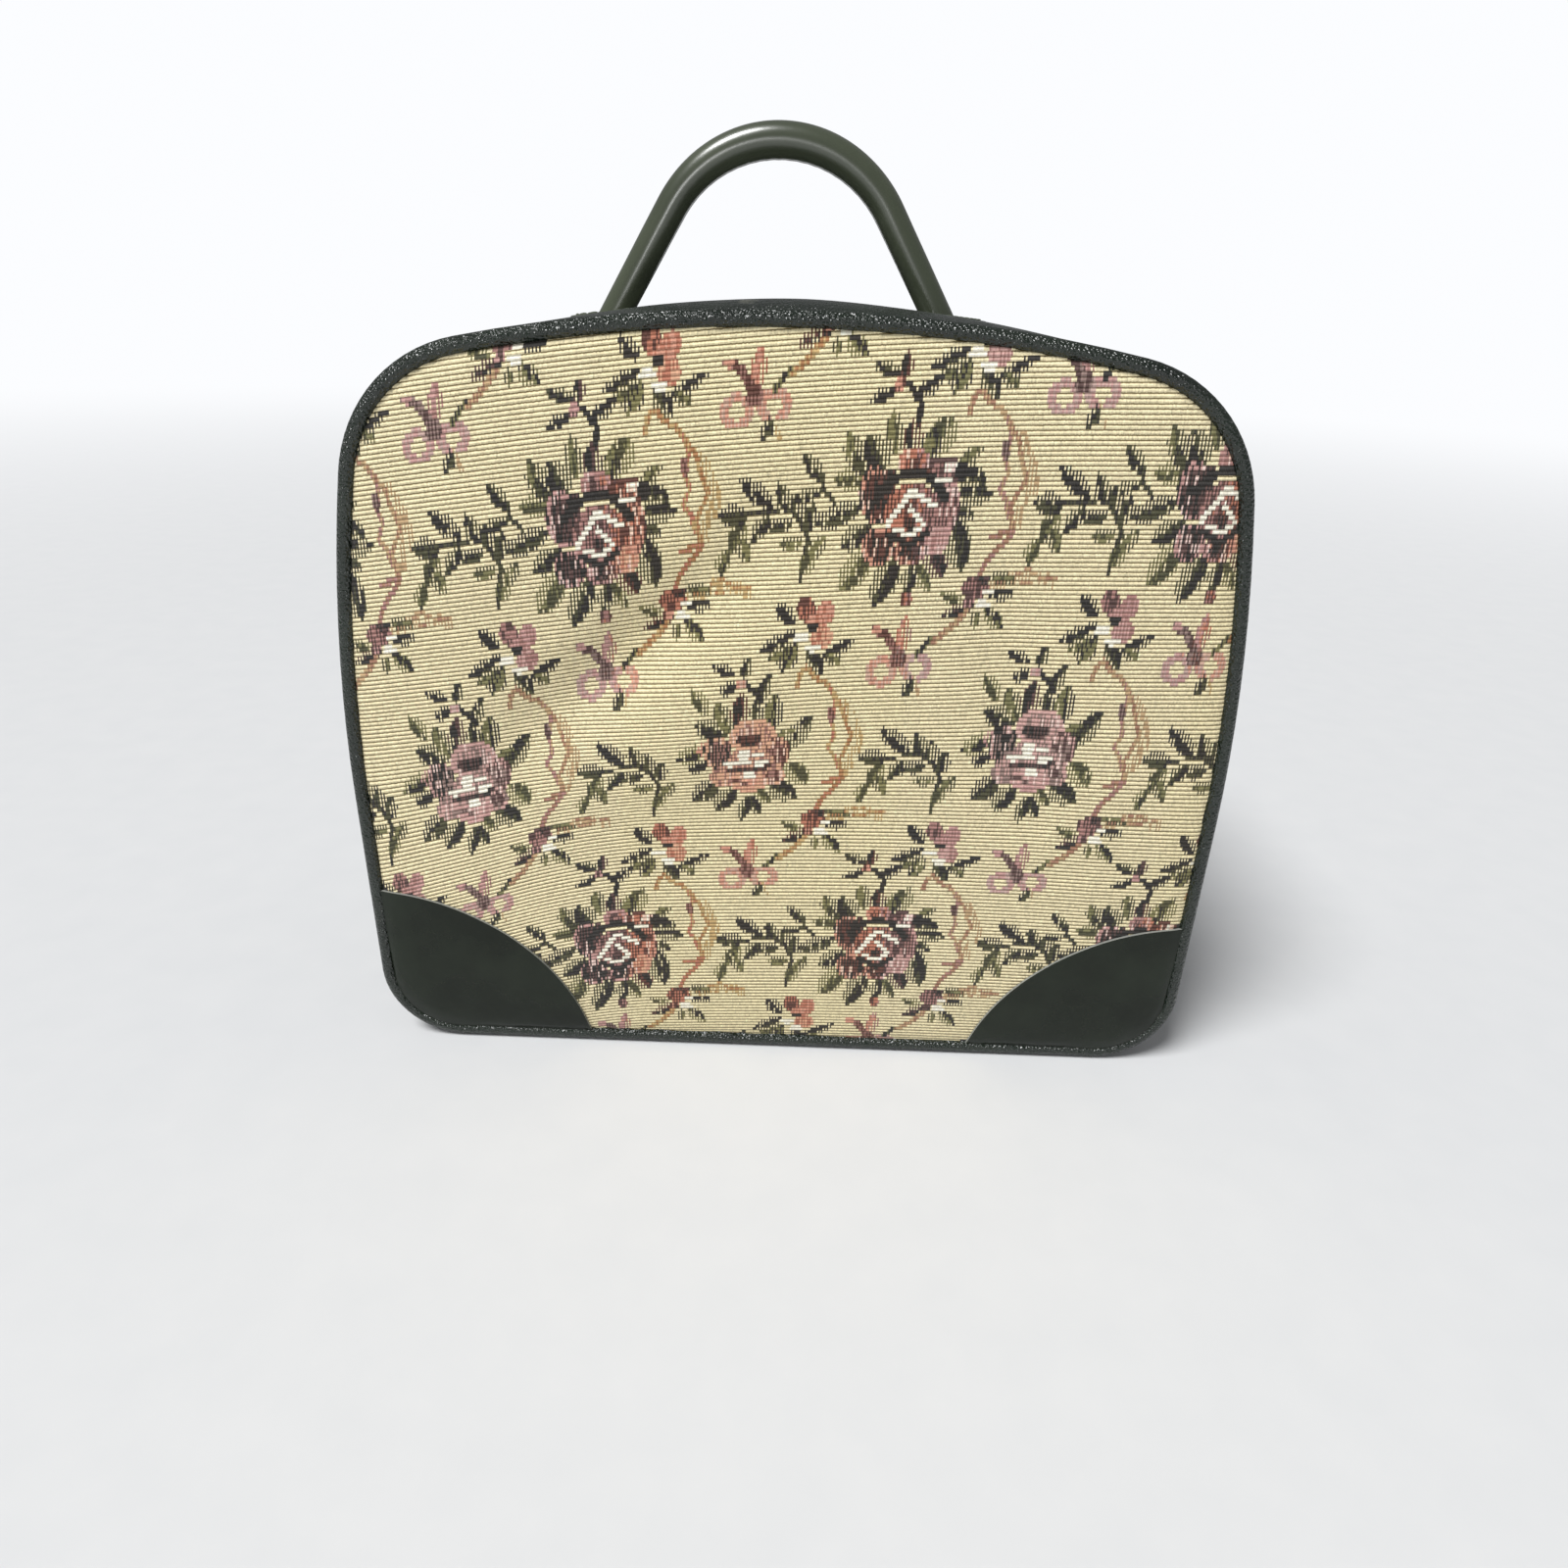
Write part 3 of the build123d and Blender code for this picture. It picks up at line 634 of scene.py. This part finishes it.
def trail(loom):
    """Twisted ribbon that winds down beside a rose to a bud, netted along its outer edge."""
    for points, wide, first, second in (
        ([(26.0, 14.0), (28.8, 8.0), (30.4, 3.0), (28.6, -2.4), (27.0, -7.0)], 3.2, ground, ochre),
        ([(12.6, 19.8), (13.4, 23.6), (15.0, 25.4), (17.6, 22.4), (20.4, 21.0), (23.0, 17.4)],
         1.4, brown, ochre),
        ([(22.0, 18.8), (23.6, 15.0), (22.4, 10.2), (23.6, 5.6), (21.8, 1.9), (24.0, -0.8), (25.0, -5.0)],
         1.2, rust, ochre),
        ([(23.0, 17.4), (25.4, 13.4), (26.4, 9.3), (28.2, 4.7), (26.8, 1.2), (25.2, -2.2), (26.4, -8.6)],
         1.2, brown, ochre),
        ([(21.0, -9.4), (26.4, -8.6), (23.8, -12.0), (20.8, -15.4), (19.4, -19.0)], 1.4, brown, rust),
    ):
        loom.line(points, wide, first, second)
    loom.petal(22.4, 11.4, 1.0, 2.4, 10, plum, mauve)
    tail = [(23.4, -22.6), (29.8, -19.2), (36.0, -20.4), (42.4, -22.4), (48.8, -27.2)]
    loom.line(tail, 3.4, ground, ochre)
    loom.line([(24.0, -21.6), (31.6, -17.8), (36.0, -20.6)], 0.9, ochre, brown)
    loom.line([(30.0, -21.2), (38.0, -20.0), (44.0, -22.4), (49.0, -26.2)], 0.9, ochre, brown)


def ribbon_bud(loom):
    """Small rose where the trail ends, with leaves."""
    wreath(loom, (
        (-4.4, -4.2, 202, 9.0, 2.8, slate, plum), (-6.6, -0.7, 160, 5.8, 2.4, pine, moss),
        (6.4, -0.4, 2, 6.4, 2.4, slate, slate), (6.4, 3.7, -12, 6.9, 2.2, moss, pine),
        (5.2, -6.8, -46, 7.4, 3.2, slate, moss), (0.4, -6.8, -90, 4.2, 1.8, moss, pine),
    ))
    loom.line([(-2.4, -4.8), (-6.0, -8.8), (-10.0, -12.1)], 1.7, brown, ochre)
    loom.petal(-0.4, 1.6, 3.6, 3.1, 10, rust, plum)
    loom.petal(1.4, 3.6, 2.0, 1.1, 0, slate, plum)
    loom.petal(2.1, -3.0, 2.1, 1.2, -15, ivory)
    loom.petal(3.0, 0.2, 1.5, 0.9, 20, ivory)
    loom.petal(-1.6, -2.4, 1.6, 1.2, 20, rose, plum)


def bow(loom):
    """Bow with a round loop and an open one, two tails that stand up and a leaf below."""
    loom.ring(-4.4, -4.0, 4.3, 4.3, 2.3, rose, lilac)
    loom.ring(4.8, -3.0, 4.4, 4.2, 2.3, lilac, rose)
    loom.line([(-6.8, 7.4), (-3.8, 6.0), (-0.8, 1.2)], 2.2, mauve, plum)
    loom.petal(-6.4, 7.2, 1.4, 1.2, 0, rose)
    loom.leaf(0.9, 5.8, 86, 9.5, 2.8, rose, rust)
    loom.petal(0, -0.6, 2.2, 2.8, 0, mauve, plum)
    loom.line([(8.4, 4.6), (4.8, 0.6)], 1.5, moss, slate)
    loom.leaf(3.4, -8.2, 246, 6.5, 2.4, pine, slate)
    loom.line([(4.6, -5.6), (6.2, -10.6)], 1.0, ochre, ground)


def tulip(loom):
    """Larger bud with a split cup, leaves either side."""
    wreath(loom, (
        (-7.6, 3.7, 130, 6.9, 3.2, slate, slate), (-9.5, -3.5, 208, 10.1, 2.6, slate, slate),
        (-8.0, -6.2, 204, 8.0, 4.0, moss, pine), (-6.4, -7.9, 244, 7.4, 3.4, moss, slate),
        (0.6, -9.7, -58, 7.4, 3.6, slate, pine), (6.4, -6.6, 30, 11.7, 2.4, slate, slate),
        (5.6, -9.2, -44, 4.8, 2.2, moss, pine),
    ))
    loom.petal(-2.0, 4.6, 2.6, 3.5, 15, plum, rust)
    loom.petal(2.8, 3.4, 2.5, 3.4, -10, rust, rose)
    loom.petal(0.2, 1.4, 2.4, 1.8, 0, rose, rust)
    loom.petal(2.2, -2.8, 3.0, 3.2, 0, peach, rust)
    loom.petal(-3.2, -2.6, 2.3, 1.1, 0, ivory)
    loom.petal(-0.2, -5.6, 2.2, 1.1, 0, ivory)
    loom.petal(-0.4, 0.0, 1.6, 1.1, 0, slate)


def vine(loom):
    """Arched sprig of paired leaves between two roses."""
    stem = [(6.1, -14.5), (6.4, -9.9), (7.8, -3.9), (5.5, 1.3),
            (2.0, 4.3), (-3.0, 3.7), (-7.5, 3.0), (-12.0, 2.8)]
    loom.line(stem, 1.1, slate, pine)
    loom.line([(-8.4, 2.6), (-10.6, -2.2), (-13.0, -7.2), (-14.5, -11.6)], 1.1, pine, slate)
    wreath(loom, (
        (-5.5, 8.4, 138, 10.5, 3.5, slate, slate), (1.4, 6.6, 110, 8.1, 3.2, slate, pine),
        (5.0, 4.4, 92, 7.0, 3.0, pine, slate), (8.2, 1.3, 80, 7.0, 3.2, pine, slate),
        (-4.5, -0.6, 232, 7.0, 3.2, slate, pine), (0.5, 0.0, 192, 6.4, 3.0, pine, slate),
        (3.5, -4.4, 186, 5.8, 2.8, moss, pine), (10.0, -5.9, 52, 6.4, 2.8, moss, pine),
        (8.0, -9.5, 62, 5.8, 2.8, pine, moss), (-11.4, 3.3, 176, 7.6, 4.0, pine, slate),
        (-10.4, -2.6, 62, 7.6, 4.0, pine, moss), (-8.8, -5.7, 290, 6.4, 2.8, moss, pine),
        (-14.0, -8.1, 250, 6.4, 2.8, pine, moss),
    ))


jacquard, shader = finish("ribbed_jacquard", (0.6, 0.5, 0.35), 0.95, 0.1)
feed(shader, {"Sheen Weight": 0.12, "Sheen Roughness": 0.5})
yarn = put(jacquard, "VertexColor", layer_name="yarn").outputs
cell = put(jacquard, "UVMap", uv_map="weave").outputs["UV"]
parts = put(jacquard, "SeparateXYZ", {"Vector": cell}).outputs
fray = noise(jacquard, cell, 0.9, 2.0)
ridge = maths(jacquard, "PINGPONG", maths(jacquard, "MULTIPLY_ADD", fray, 0.34, parts["Y"]), 0.5)
end = maths(jacquard, "PINGPONG", parts["X"], 0.5)
# Painted shade: the grooves between the ribs are darkened in the colour itself, less over the coloured yarns
# than over the ground.
depth = ramp(jacquard, ridge, (0.17, 0.14, 0.085), (1, 1, 1), 0.05, 0.24)
pale = remap(jacquard, yarn["Alpha"], 0.0, 1.0, 1.0, 0.6)
shade = put(jacquard, "Mix", {0: pale, 6: yarn["Color"], 7: depth}, data_type="RGBA", blend_type="MULTIPLY")
feed(shader, {"Base Color": shade.outputs[2]})
twist = noise(jacquard, put(jacquard, "TexCoord").outputs["Object"], 2600.0, 3.0)
fuzz = relief(jacquard, shader, twist, 0.5, 0.0002)
plies = relief(jacquard, shader, end, 0.35, 0.0002, fuzz)
relief(jacquard, shader, ridge, 0.9, 0.0007, plies)
lean_slope, lean_curve = 0.0915, 0.4
drag_middle, drag_bend, drag_top, drag_fade = -0.042, 0.036, 0.122, 0.05
drag_lift, drag_right, drag_curve, drag_left = 0.004, 0.05, 2.6, 0.187
rows_at = np.array([42.4, 67.0, 103.4, 172.5])
row_levels = np.array([-3, -2, -1.57, -1, 0, 1])
tint_start, tint_blur, shade_blur = 47, 1.5, 0.08
motifs = ((0, 0, trail), (46, -5, vine), (0, -40, bow), (19, -24, ribbon_bud), (-23, -31, tulip))


def rib_lean(x, level):
    """How far a row of ribs rises or falls across the panel; the low rows are dragged down at both sides."""
    past = np.clip(drag_middle - x, 0, None)
    near = np.minimum(past, drag_bend)
    right = drag_right * np.clip(x - drag_middle, 0, None)
    drag = drag_lift - right - drag_curve * near**2 - drag_left * (past - near)
    low = np.clip((drag_top - level) / drag_fade, 0, 1)
    return lean_slope * x - lean_curve * x**2 + drag * low**2 * (3 - 2 * low)


def weave(name, side, shift):
    """One cloth panel: a grid of stitches trimmed under the welt, woven and swelled."""
    reach = half_width - seam_inset + stitch
    columns = int(2 * reach / stitch)
    x = (np.arange(columns + 1) / columns - 0.5) * columns * stitch
    first_rib = math.floor((outline_low - rib_lean(x, outline_low).max()) / rib)
    last_rib = math.ceil((outline_top - rib_lean(x, outline_top).min()) / rib)
    level = np.arange(first_rib, last_rib + 1)[:, None] * rib
    z = level + rib_lean(x[None, :], level)
    x = np.broadcast_to(x[None, :], z.shape)
    points = np.stack([x, cloth_front - cloth_swell(x, z), z], axis=2)
    panel = surface(name, points)
    mesh = panel.data
    middles = np.empty(len(mesh.polygons) * 3)
    mesh.polygons.foreach_get("center", middles)
    middles = middles.reshape(-1, 3)
    outside = np.abs(middles[:, 0]) > half_reach(middles[:, 2], seam_inset)
    cells = mesh.uv_layers[0]
    cells.name = "weave"
    flat = np.empty(len(mesh.loops) * 2)
    cells.data.foreach_get("uv", flat)
    flat = flat.reshape(-1, 2) * (columns, last_rib - first_rib)
    cells.data.foreach_set("uv", flat.ravel())
    bpy.ops.object.mode_set(mode="EDIT")
    bpy.ops.mesh.select_mode(type="FACE")
    bpy.ops.mesh.select_all(action="DESELECT")
    bpy.ops.object.mode_set(mode="OBJECT")
    mesh.polygons.foreach_set("select", outside)
    bpy.ops.object.mode_set(mode="EDIT")
    bpy.ops.mesh.delete(type="FACE")
    bpy.ops.object.mode_set(mode="OBJECT")
    u = middles[~outside, 0] * 1000
    v = (flat.reshape(-1, 4, 2).mean(axis=1)[~outside, 1] + first_rib) * rib * 1000
    column = np.floor(u / 1000 / stitch + 1e-4).astype(int)
    row = np.floor(v / 1000 / rib + 1e-4).astype(int)
    v = np.interp(v, np.r_[rows_at[0] - drop, rows_at, rows_at[-1] + drop], row_levels * drop)
    loom = Loom(u + shift, v, column, row)
    for level in range(-1, 5):
        across, up = -50 + repeat / 2 * (level % 2), -drop * level
        heart = cup_rose if level % 2 else open_rose
        for dx, dy, draw in (*motifs, (0, 0, heart)):
            loom.at(across + dx, up + dy)
            draw(loom)
    rng = np.random.default_rng(11)
    ragged_u = loom.u + tint_start + rng.normal(0, tint_blur, len(u))
    zone = np.floor(ragged_u / (repeat - 1)).astype(int) % 2
    colour = yarn_colours[loom.yarn, zone] * rng.normal(1, shade_blur, (len(u), 1))
    drawn = (loom.yarn > 0).astype(float)[:, None]
    corners = np.hstack([np.clip(colour, 0, 1), drawn]).repeat(4, axis=0)
    yarn_layer = mesh.color_attributes.new("yarn", "FLOAT_COLOR", "CORNER")
    yarn_layer.data.foreach_set("color", corners.ravel().astype(np.float32))
    if side > 0:
        place = np.empty(len(mesh.vertices) * 3)
        mesh.vertices.foreach_get("co", place)
        mesh.vertices.foreach_set("co", (place.reshape(-1, 3) * (-1, -1, 1)).ravel())
    mesh.update()
    if mesh.polygons[0].normal.y * side < 0:
        mesh.flip_normals()
    bpy.ops.object.shade_smooth()
    mesh.materials.append(jacquard)
    return panel


for name, node, side, shift, body in (
    ("front_cloth", "front_tapestry", -1, 0.0, "lid"),
    ("back_cloth", "back_tapestry", 1, 31.0, "body"),
):
    panel = weave(name, side, shift)
    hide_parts(node)
    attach(panel, body)

# Welts: cords covered in the gusset's pebbled vinyl, round the front and the back.
# They are sewn into the seams between the panels and the gusset.
dress(("front_welt", "back_welt"), pebble)

# Corner patches: smooth, glossy vinyl cut to an arc and sewn into the welt at each bottom corner.
# They lie on the cloth, and the pale backing of the vinyl shows along the cut.
patch_aside, patch_below, patch_round = 0.005, 0.0114, 0.0614
patch_middle = np.array([half_width - patch_aside, -patch_below])
patch_thick, patch_gap, left_raise = 0.0008, 0.00015, 0.0034
glossy, shader = finish("smooth_vinyl", (0.012, 0.017, 0.010), 0.22, 0.26)
place, wave, _ = mottle(glossy, shader, 55.0, 3.0, (0.006, 0.009, 0.005), (0.014, 0.020, 0.012), 0.3, 0.75)
sags = relief(glossy, shader, wave, 0.5, 0.0012)
relief(glossy, shader, noise(glossy, place, 900.0, 4.0), 0.12, 0.0001, sags)
backing, shader = finish("vinyl_backing", (0.20, 0.21, 0.19), 0.8, 0.2)
mottle(backing, shader, 2200.0, 3.0, (0.12, 0.13, 0.12), (0.34, 0.34, 0.31))


def corner_patch(name, across, side, shift):
    """One patch: rays from the arc's middle, each from the seam out to the cut edge."""
    reach = np.linspace(0, patch_round, 400)
    middle = patch_middle + (0, shift)
    rows = []
    for turn in np.linspace(math.pi / 2 - 0.03, math.pi, 400):
        ray = middle + reach[:, None] * (math.cos(turn), math.sin(turn))
        inside = np.abs(ray[:, 0]) < half_reach(ray[:, 1], seam_inset)
        if inside[-1]:
            start = reach[np.argmax(inside)]
            steps = start + (patch_round - start) * np.linspace(0, 1, 15)
            rows.append(middle + steps[:, None] * (math.cos(turn), math.sin(turn)))
    rows = np.array(rows)[np.unique(np.linspace(0, len(rows) - 1, 60).astype(int))]
    x, z = rows[:, :, 0] * across, rows[:, :, 1]
    lift = cloth_swell(x * -side, z) + patch_thick + patch_gap
    piece = surface(name, np.stack([x, (cloth_front - lift) * -side, z], axis=2))
    piece.data.materials.append(glossy)
    piece.data.materials.append(backing)
    thicken(piece, patch_thick, (0, side, 0))
    return piece


for name, across, side, shift, body in (
    ("front_patch_left", -1, -1, left_raise, "lid"), ("front_patch_right", 1, -1, 0.0, "lid"),
    ("back_patch_left", -1, 1, 0.0, "body"), ("back_patch_right", 1, 1, 0.0, "body"),
):
    patch = corner_patch(name + "_skin", across, side, shift)
    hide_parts(name)
    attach(patch, body)

# Handle: smooth olive vinyl rolled over a cord and bent into a bow, fuller on the inside of the bend.
# Each foot is sewn down under an oval tab on top of the body.
olive, shader = finish("rolled_vinyl", (0.05, 0.06, 0.036), 0.3, 0.5)
feed(shader, {"Coat Weight": 0.7, "Coat Roughness": 0.22})
place, _, _ = mottle(olive, shader, 45.0, 5.0, (0.040, 0.049, 0.029), (0.062, 0.074, 0.045), 0.3, 0.75)
relief(olive, shader, noise(olive, place, 700.0, 5.0), 0.2, 0.00015)
tab_low, tab_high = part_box("handle_tab_left")
far_low, far_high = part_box("handle_tab_right")
handle_y = (tab_low.y + tab_high.y) / 2
handle_middle = (tab_low.x + tab_high.x + far_low.x + far_high.x) / 4
tube_round, bow_round, bow_half, leg_long = 0.0044, 0.036, math.radians(59), 0.036
bend_full, bend_crease, seam_deep = 0.0009, 0.00005, 0.0005
bow_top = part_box("handle_tube")[1].z - tube_round


def handle_run(gap):
    """The tube's middle line: a leg, a bow and a leg, in even steps."""
    turn = np.linspace(-bow_half, bow_half, 200)
    arc = np.column_stack([np.sin(turn), np.cos(turn) - 1]) * bow_round
    leg = np.array([math.cos(bow_half), -math.sin(bow_half)]) * leg_long
    run = np.vstack([arc[0] + leg * (-1, 1), arc, arc[-1] + leg])
    return spaced(run + (handle_middle, bow_top), gap)


line, normals = handle_run(0.0012)
around = np.linspace(-math.pi, math.pi, 37)[None, :]
share = np.linspace(-1, 1, len(line))[:, None]
bent = hill(share, 0, 0.42)
inside = np.abs(around)
radius = tube_round * (1 - 0.010 * ripple(share * 0.2, around * 0.02))
radius = radius + bend_full * bent * hill(inside, math.pi, 1.1)
radius = radius - bend_crease * bent * hill(inside, math.pi, 0.5) * (1 + np.sin(share * 120))
radius = radius - seam_deep * hill(inside, math.pi, 0.13)
out, wide = radius * np.cos(around), radius * np.sin(around) * (1 + 0.03 * np.abs(share))
tube = [line[:, [0]] + normals[:, [0]] * out, handle_y + wide, line[:, [1]] + normals[:, [1]] * out]
handle_roll = surface("handle_roll", np.stack(tube, axis=2))
bpy.ops.object.mode_set(mode="EDIT")
bpy.ops.mesh.select_all(action="SELECT")
bpy.ops.mesh.remove_doubles(threshold=0.00001)
bpy.ops.mesh.normals_make_consistent(inside=False)
bpy.ops.object.mode_set(mode="OBJECT")
bpy.ops.object.shade_smooth()
handle_roll.data.materials.append(olive)
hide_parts("handle_tube")
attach(handle_roll, "body")
dress(("handle_tab_left", "handle_tab_right", "handle_core"), olive)

# Stitching: olive thread in even stitches that lie on the vinyl.
# The rows hold the gusset to the zipper's tapes, the boot to the body and the handle's tabs down.
thread, shader = finish("olive_thread", (0.07, 0.085, 0.05), 0.75, 0.25)
mottle(thread, shader, 3000.0, 2.0, (0.045, 0.056, 0.034), (0.105, 0.125, 0.078))
stitch_long, stitch_wide, stitch_gap = 0.0024, 0.00055, 0.0033
stitch_lift, seam_edge, row_start, row_end = 0.0001, 0.0022, 0.004, 0.003


def repeated(name, shape, spots, ahead, out, material):
    """One piece of many copies of a small shape, each turned to its direction."""
    aside = np.cross(out, ahead)
    base = np.array([vertex.co for vertex in shape.vertices])
    faces = [list(polygon.vertices) for polygon in shape.polygons]
    places = (spots[:, None, :] + base[None, :, 0, None] * ahead[:, None, :]
              + base[None, :, 1, None] * aside[:, None, :] + base[None, :, 2, None] * out[:, None, :])
    mesh = bpy.data.meshes.new(name)
    mesh.from_pydata(places.reshape(-1, 3).tolist(), [],
                     [[i + k * len(base) for i in face] for k in range(len(spots)) for face in faces])
    piece = bpy.data.objects.new(name, mesh)
    bpy.context.collection.objects.link(piece)
    mesh.materials.append(material)
    bpy.ops.object.select_all(action="DESELECT")
    piece.select_set(True)
    bpy.context.view_layer.objects.active = piece
    bpy.ops.object.shade_smooth()
    return piece


bpy.ops.object.select_all(action="DESELECT")
bpy.ops.mesh.primitive_uv_sphere_add(segments=8, ring_count=6, radius=0.5)
pattern = bpy.context.object
pattern.scale = (stitch_long, stitch_wide, stitch_wide)
bpy.ops.object.transform_apply(scale=True)
one_stitch = pattern.data.copy()
bpy.ops.object.delete()


def stitch_row(name, spots, ahead, out, body):
    """A row of stitches laid on a surface, riding on a body."""
    row = repeated(name, one_stitch, spots, ahead, out, thread)
    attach(row, body)


def across_case(normals):
    """Directions out of the gusset and along it, in the case's own axes."""
    none = np.zeros(len(normals))
    out = np.column_stack([normals[:, 0], none, normals[:, 1]])
    return out, np.column_stack([normals[:, 1], none, -normals[:, 0]])


def edge_stitches(name, foot, y, rise, share, body):
    """Stitches along a band's edge by the zipper."""
    line, normals = arch(gusset_inset, foot + row_end, stitch_gap)
    off = rise(line, normals, np.array([[share]])) + stitch_lift
    on_band = line + normals * off
    spots = np.column_stack([on_band[:, 0], np.full(len(line), y), on_band[:, 1]])
    out, ahead = across_case(normals)
    stitch_row(name, spots, ahead, out, body)


lid_share = 1 - seam_edge / (lid_high.y - lid_low.y)
rear_share = seam_edge / (rear_high.y - rear_low.y)
edge_stitches("lid_edge_stitches", lid_low.z, lid_high.y - seam_edge, lid_crown, lid_share, "lid")
edge_stitches("rear_edge_stitches", rear_low.z, rear_low.y + seam_edge, rear_sag, rear_share, "body")
y = np.arange(boot_low.y + row_start, boot_high.y - row_end, stitch_gap)
for name, across in (("boot_stitches_left", -1.0), ("boot_stitches_right", 1.0)):
    x, z = np.full(len(y), across * boot_high.x), np.full(len(y), boot_high.z - seam_edge)
    ahead, out = np.tile((0.0, 1.0, 0.0), (len(y), 1)), np.tile((across, 0.0, 0.0), (len(y), 1))
    stitch_row(name, np.column_stack([x, y, z]), ahead, out, "body")
tab_long, tab_wide, tab_thick = 0.030, 0.017, 0.0024
tab_middles = ((tab_low.x + tab_high.x) / 2, (far_low.x + far_high.x) / 2)
deep = np.array([0, 1.0, 0])
for name, x in zip(("tab_stitches_left", "tab_stitches_right"), tab_middles):
    lean = math.asin(x / (top_bow - gusset_inset))
    flat = np.array([math.cos(lean), 0, -math.sin(lean)])
    up = np.array([math.sin(lean), 0, math.cos(lean)])
    tab_top = top_bow - gusset_inset + tab_thick + stitch_lift
    base = np.array([0, handle_y, outline_top - top_bow]) + up * tab_top
    round_end, straight = tab_wide / 2 - seam_edge, (tab_long - tab_wide) / 2
    turn = np.linspace(-math.pi / 2, math.pi / 2, 60)
    right = np.column_stack([straight + round_end * np.cos(turn), round_end * np.sin(turn)])
    ring, ring_out = spaced(np.vstack([right, -right, right[:1]]), stitch_gap)
    ring, ring_out = ring[:-1], ring_out[:-1]
    spots = base + ring[:, [0]] * flat + ring[:, [1]] * deep
    ahead = ring_out[:, [1]] * flat - ring_out[:, [0]] * deep
    stitch_row(name, spots, ahead, np.tile(up, (len(spots), 1)), "body")

# Zipper: two woven tapes in dark green, each with a nylon coil sewn along its edge.
# Brass stops close the ends, and a brass slider with a flat pull runs on the coils.
woven, shader = finish("woven_tape", (0.03, 0.045, 0.033), 0.8, 0.25)
_, warp, _ = mottle(woven, shader, 1800.0, 2.0, (0.020, 0.032, 0.022), (0.042, 0.060, 0.044))
relief(woven, shader, warp, 0.5, 0.0002)
dress(("lid_zipper_tape", "body_zipper_tape"), woven)
nylon, shader = finish("nylon_coil", (0.03, 0.042, 0.032), 0.42, 0.4)
mottle(nylon, shader, 1400.0, 3.0, (0.022, 0.033, 0.024), (0.048, 0.064, 0.048))
bpy.ops.object.select_all(action="DESELECT")
coil_pitch, coil_tall, coil_deep, coil_mesh, coil_gap = 0.00125, 0.0018, 0.0030, 0.0001, 0.0003
bpy.ops.mesh.primitive_torus_add(major_segments=10, minor_segments=5, major_radius=0.34, minor_radius=0.16)
pattern = bpy.context.object
bpy.ops.transform.rotate(value=math.pi / 2, orient_axis="Y", center_override=(0, 0, 0))
bpy.ops.object.transform_apply(rotation=True)
pattern.scale = (coil_deep * 0.7, coil_deep, coil_tall)
bpy.ops.object.transform_apply(scale=True)
one_turn = pattern.data.copy()
bpy.ops.object.delete()
tape_middle = (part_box("lid_zipper_coil")[1].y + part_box("body_zipper_coil")[0].y) / 2
coil_inset = gusset_inset + gusset_thick + coil_gap
for half, side, start in (("lid", -1, 0.0), ("body", 1, 0.5)):
    node = half + "_zipper_coil"
    line, normals = arch(coil_inset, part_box(node)[0].z + coil_pitch * start, coil_pitch)
    coil_y = tape_middle + side * (coil_deep / 2 - coil_mesh)
    spots = np.column_stack([line[:, 0], np.full(len(line), coil_y), line[:, 1]])
    out, ahead = across_case(normals)
    coil = repeated(half + "_coil", one_turn, spots, ahead, out, nylon)
    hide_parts(node)
    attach(coil, half)
brass, shader = finish("worn_brass", (0.62, 0.44, 0.17), 0.32)
_, tarnish, _ = mottle(brass, shader, 400.0, 6.0, (0.36, 0.24, 0.09), (0.68, 0.50, 0.21), 0.35, 0.62)
feed(shader, {"Metallic": 1.0, "Roughness": remap(brass, tarnish, 0.3, 0.7, 0.5, 0.24)})
dress(("lid_zipper_stops", "body_zipper_stops", "zipper_slider", "zipper_pull"), brass)
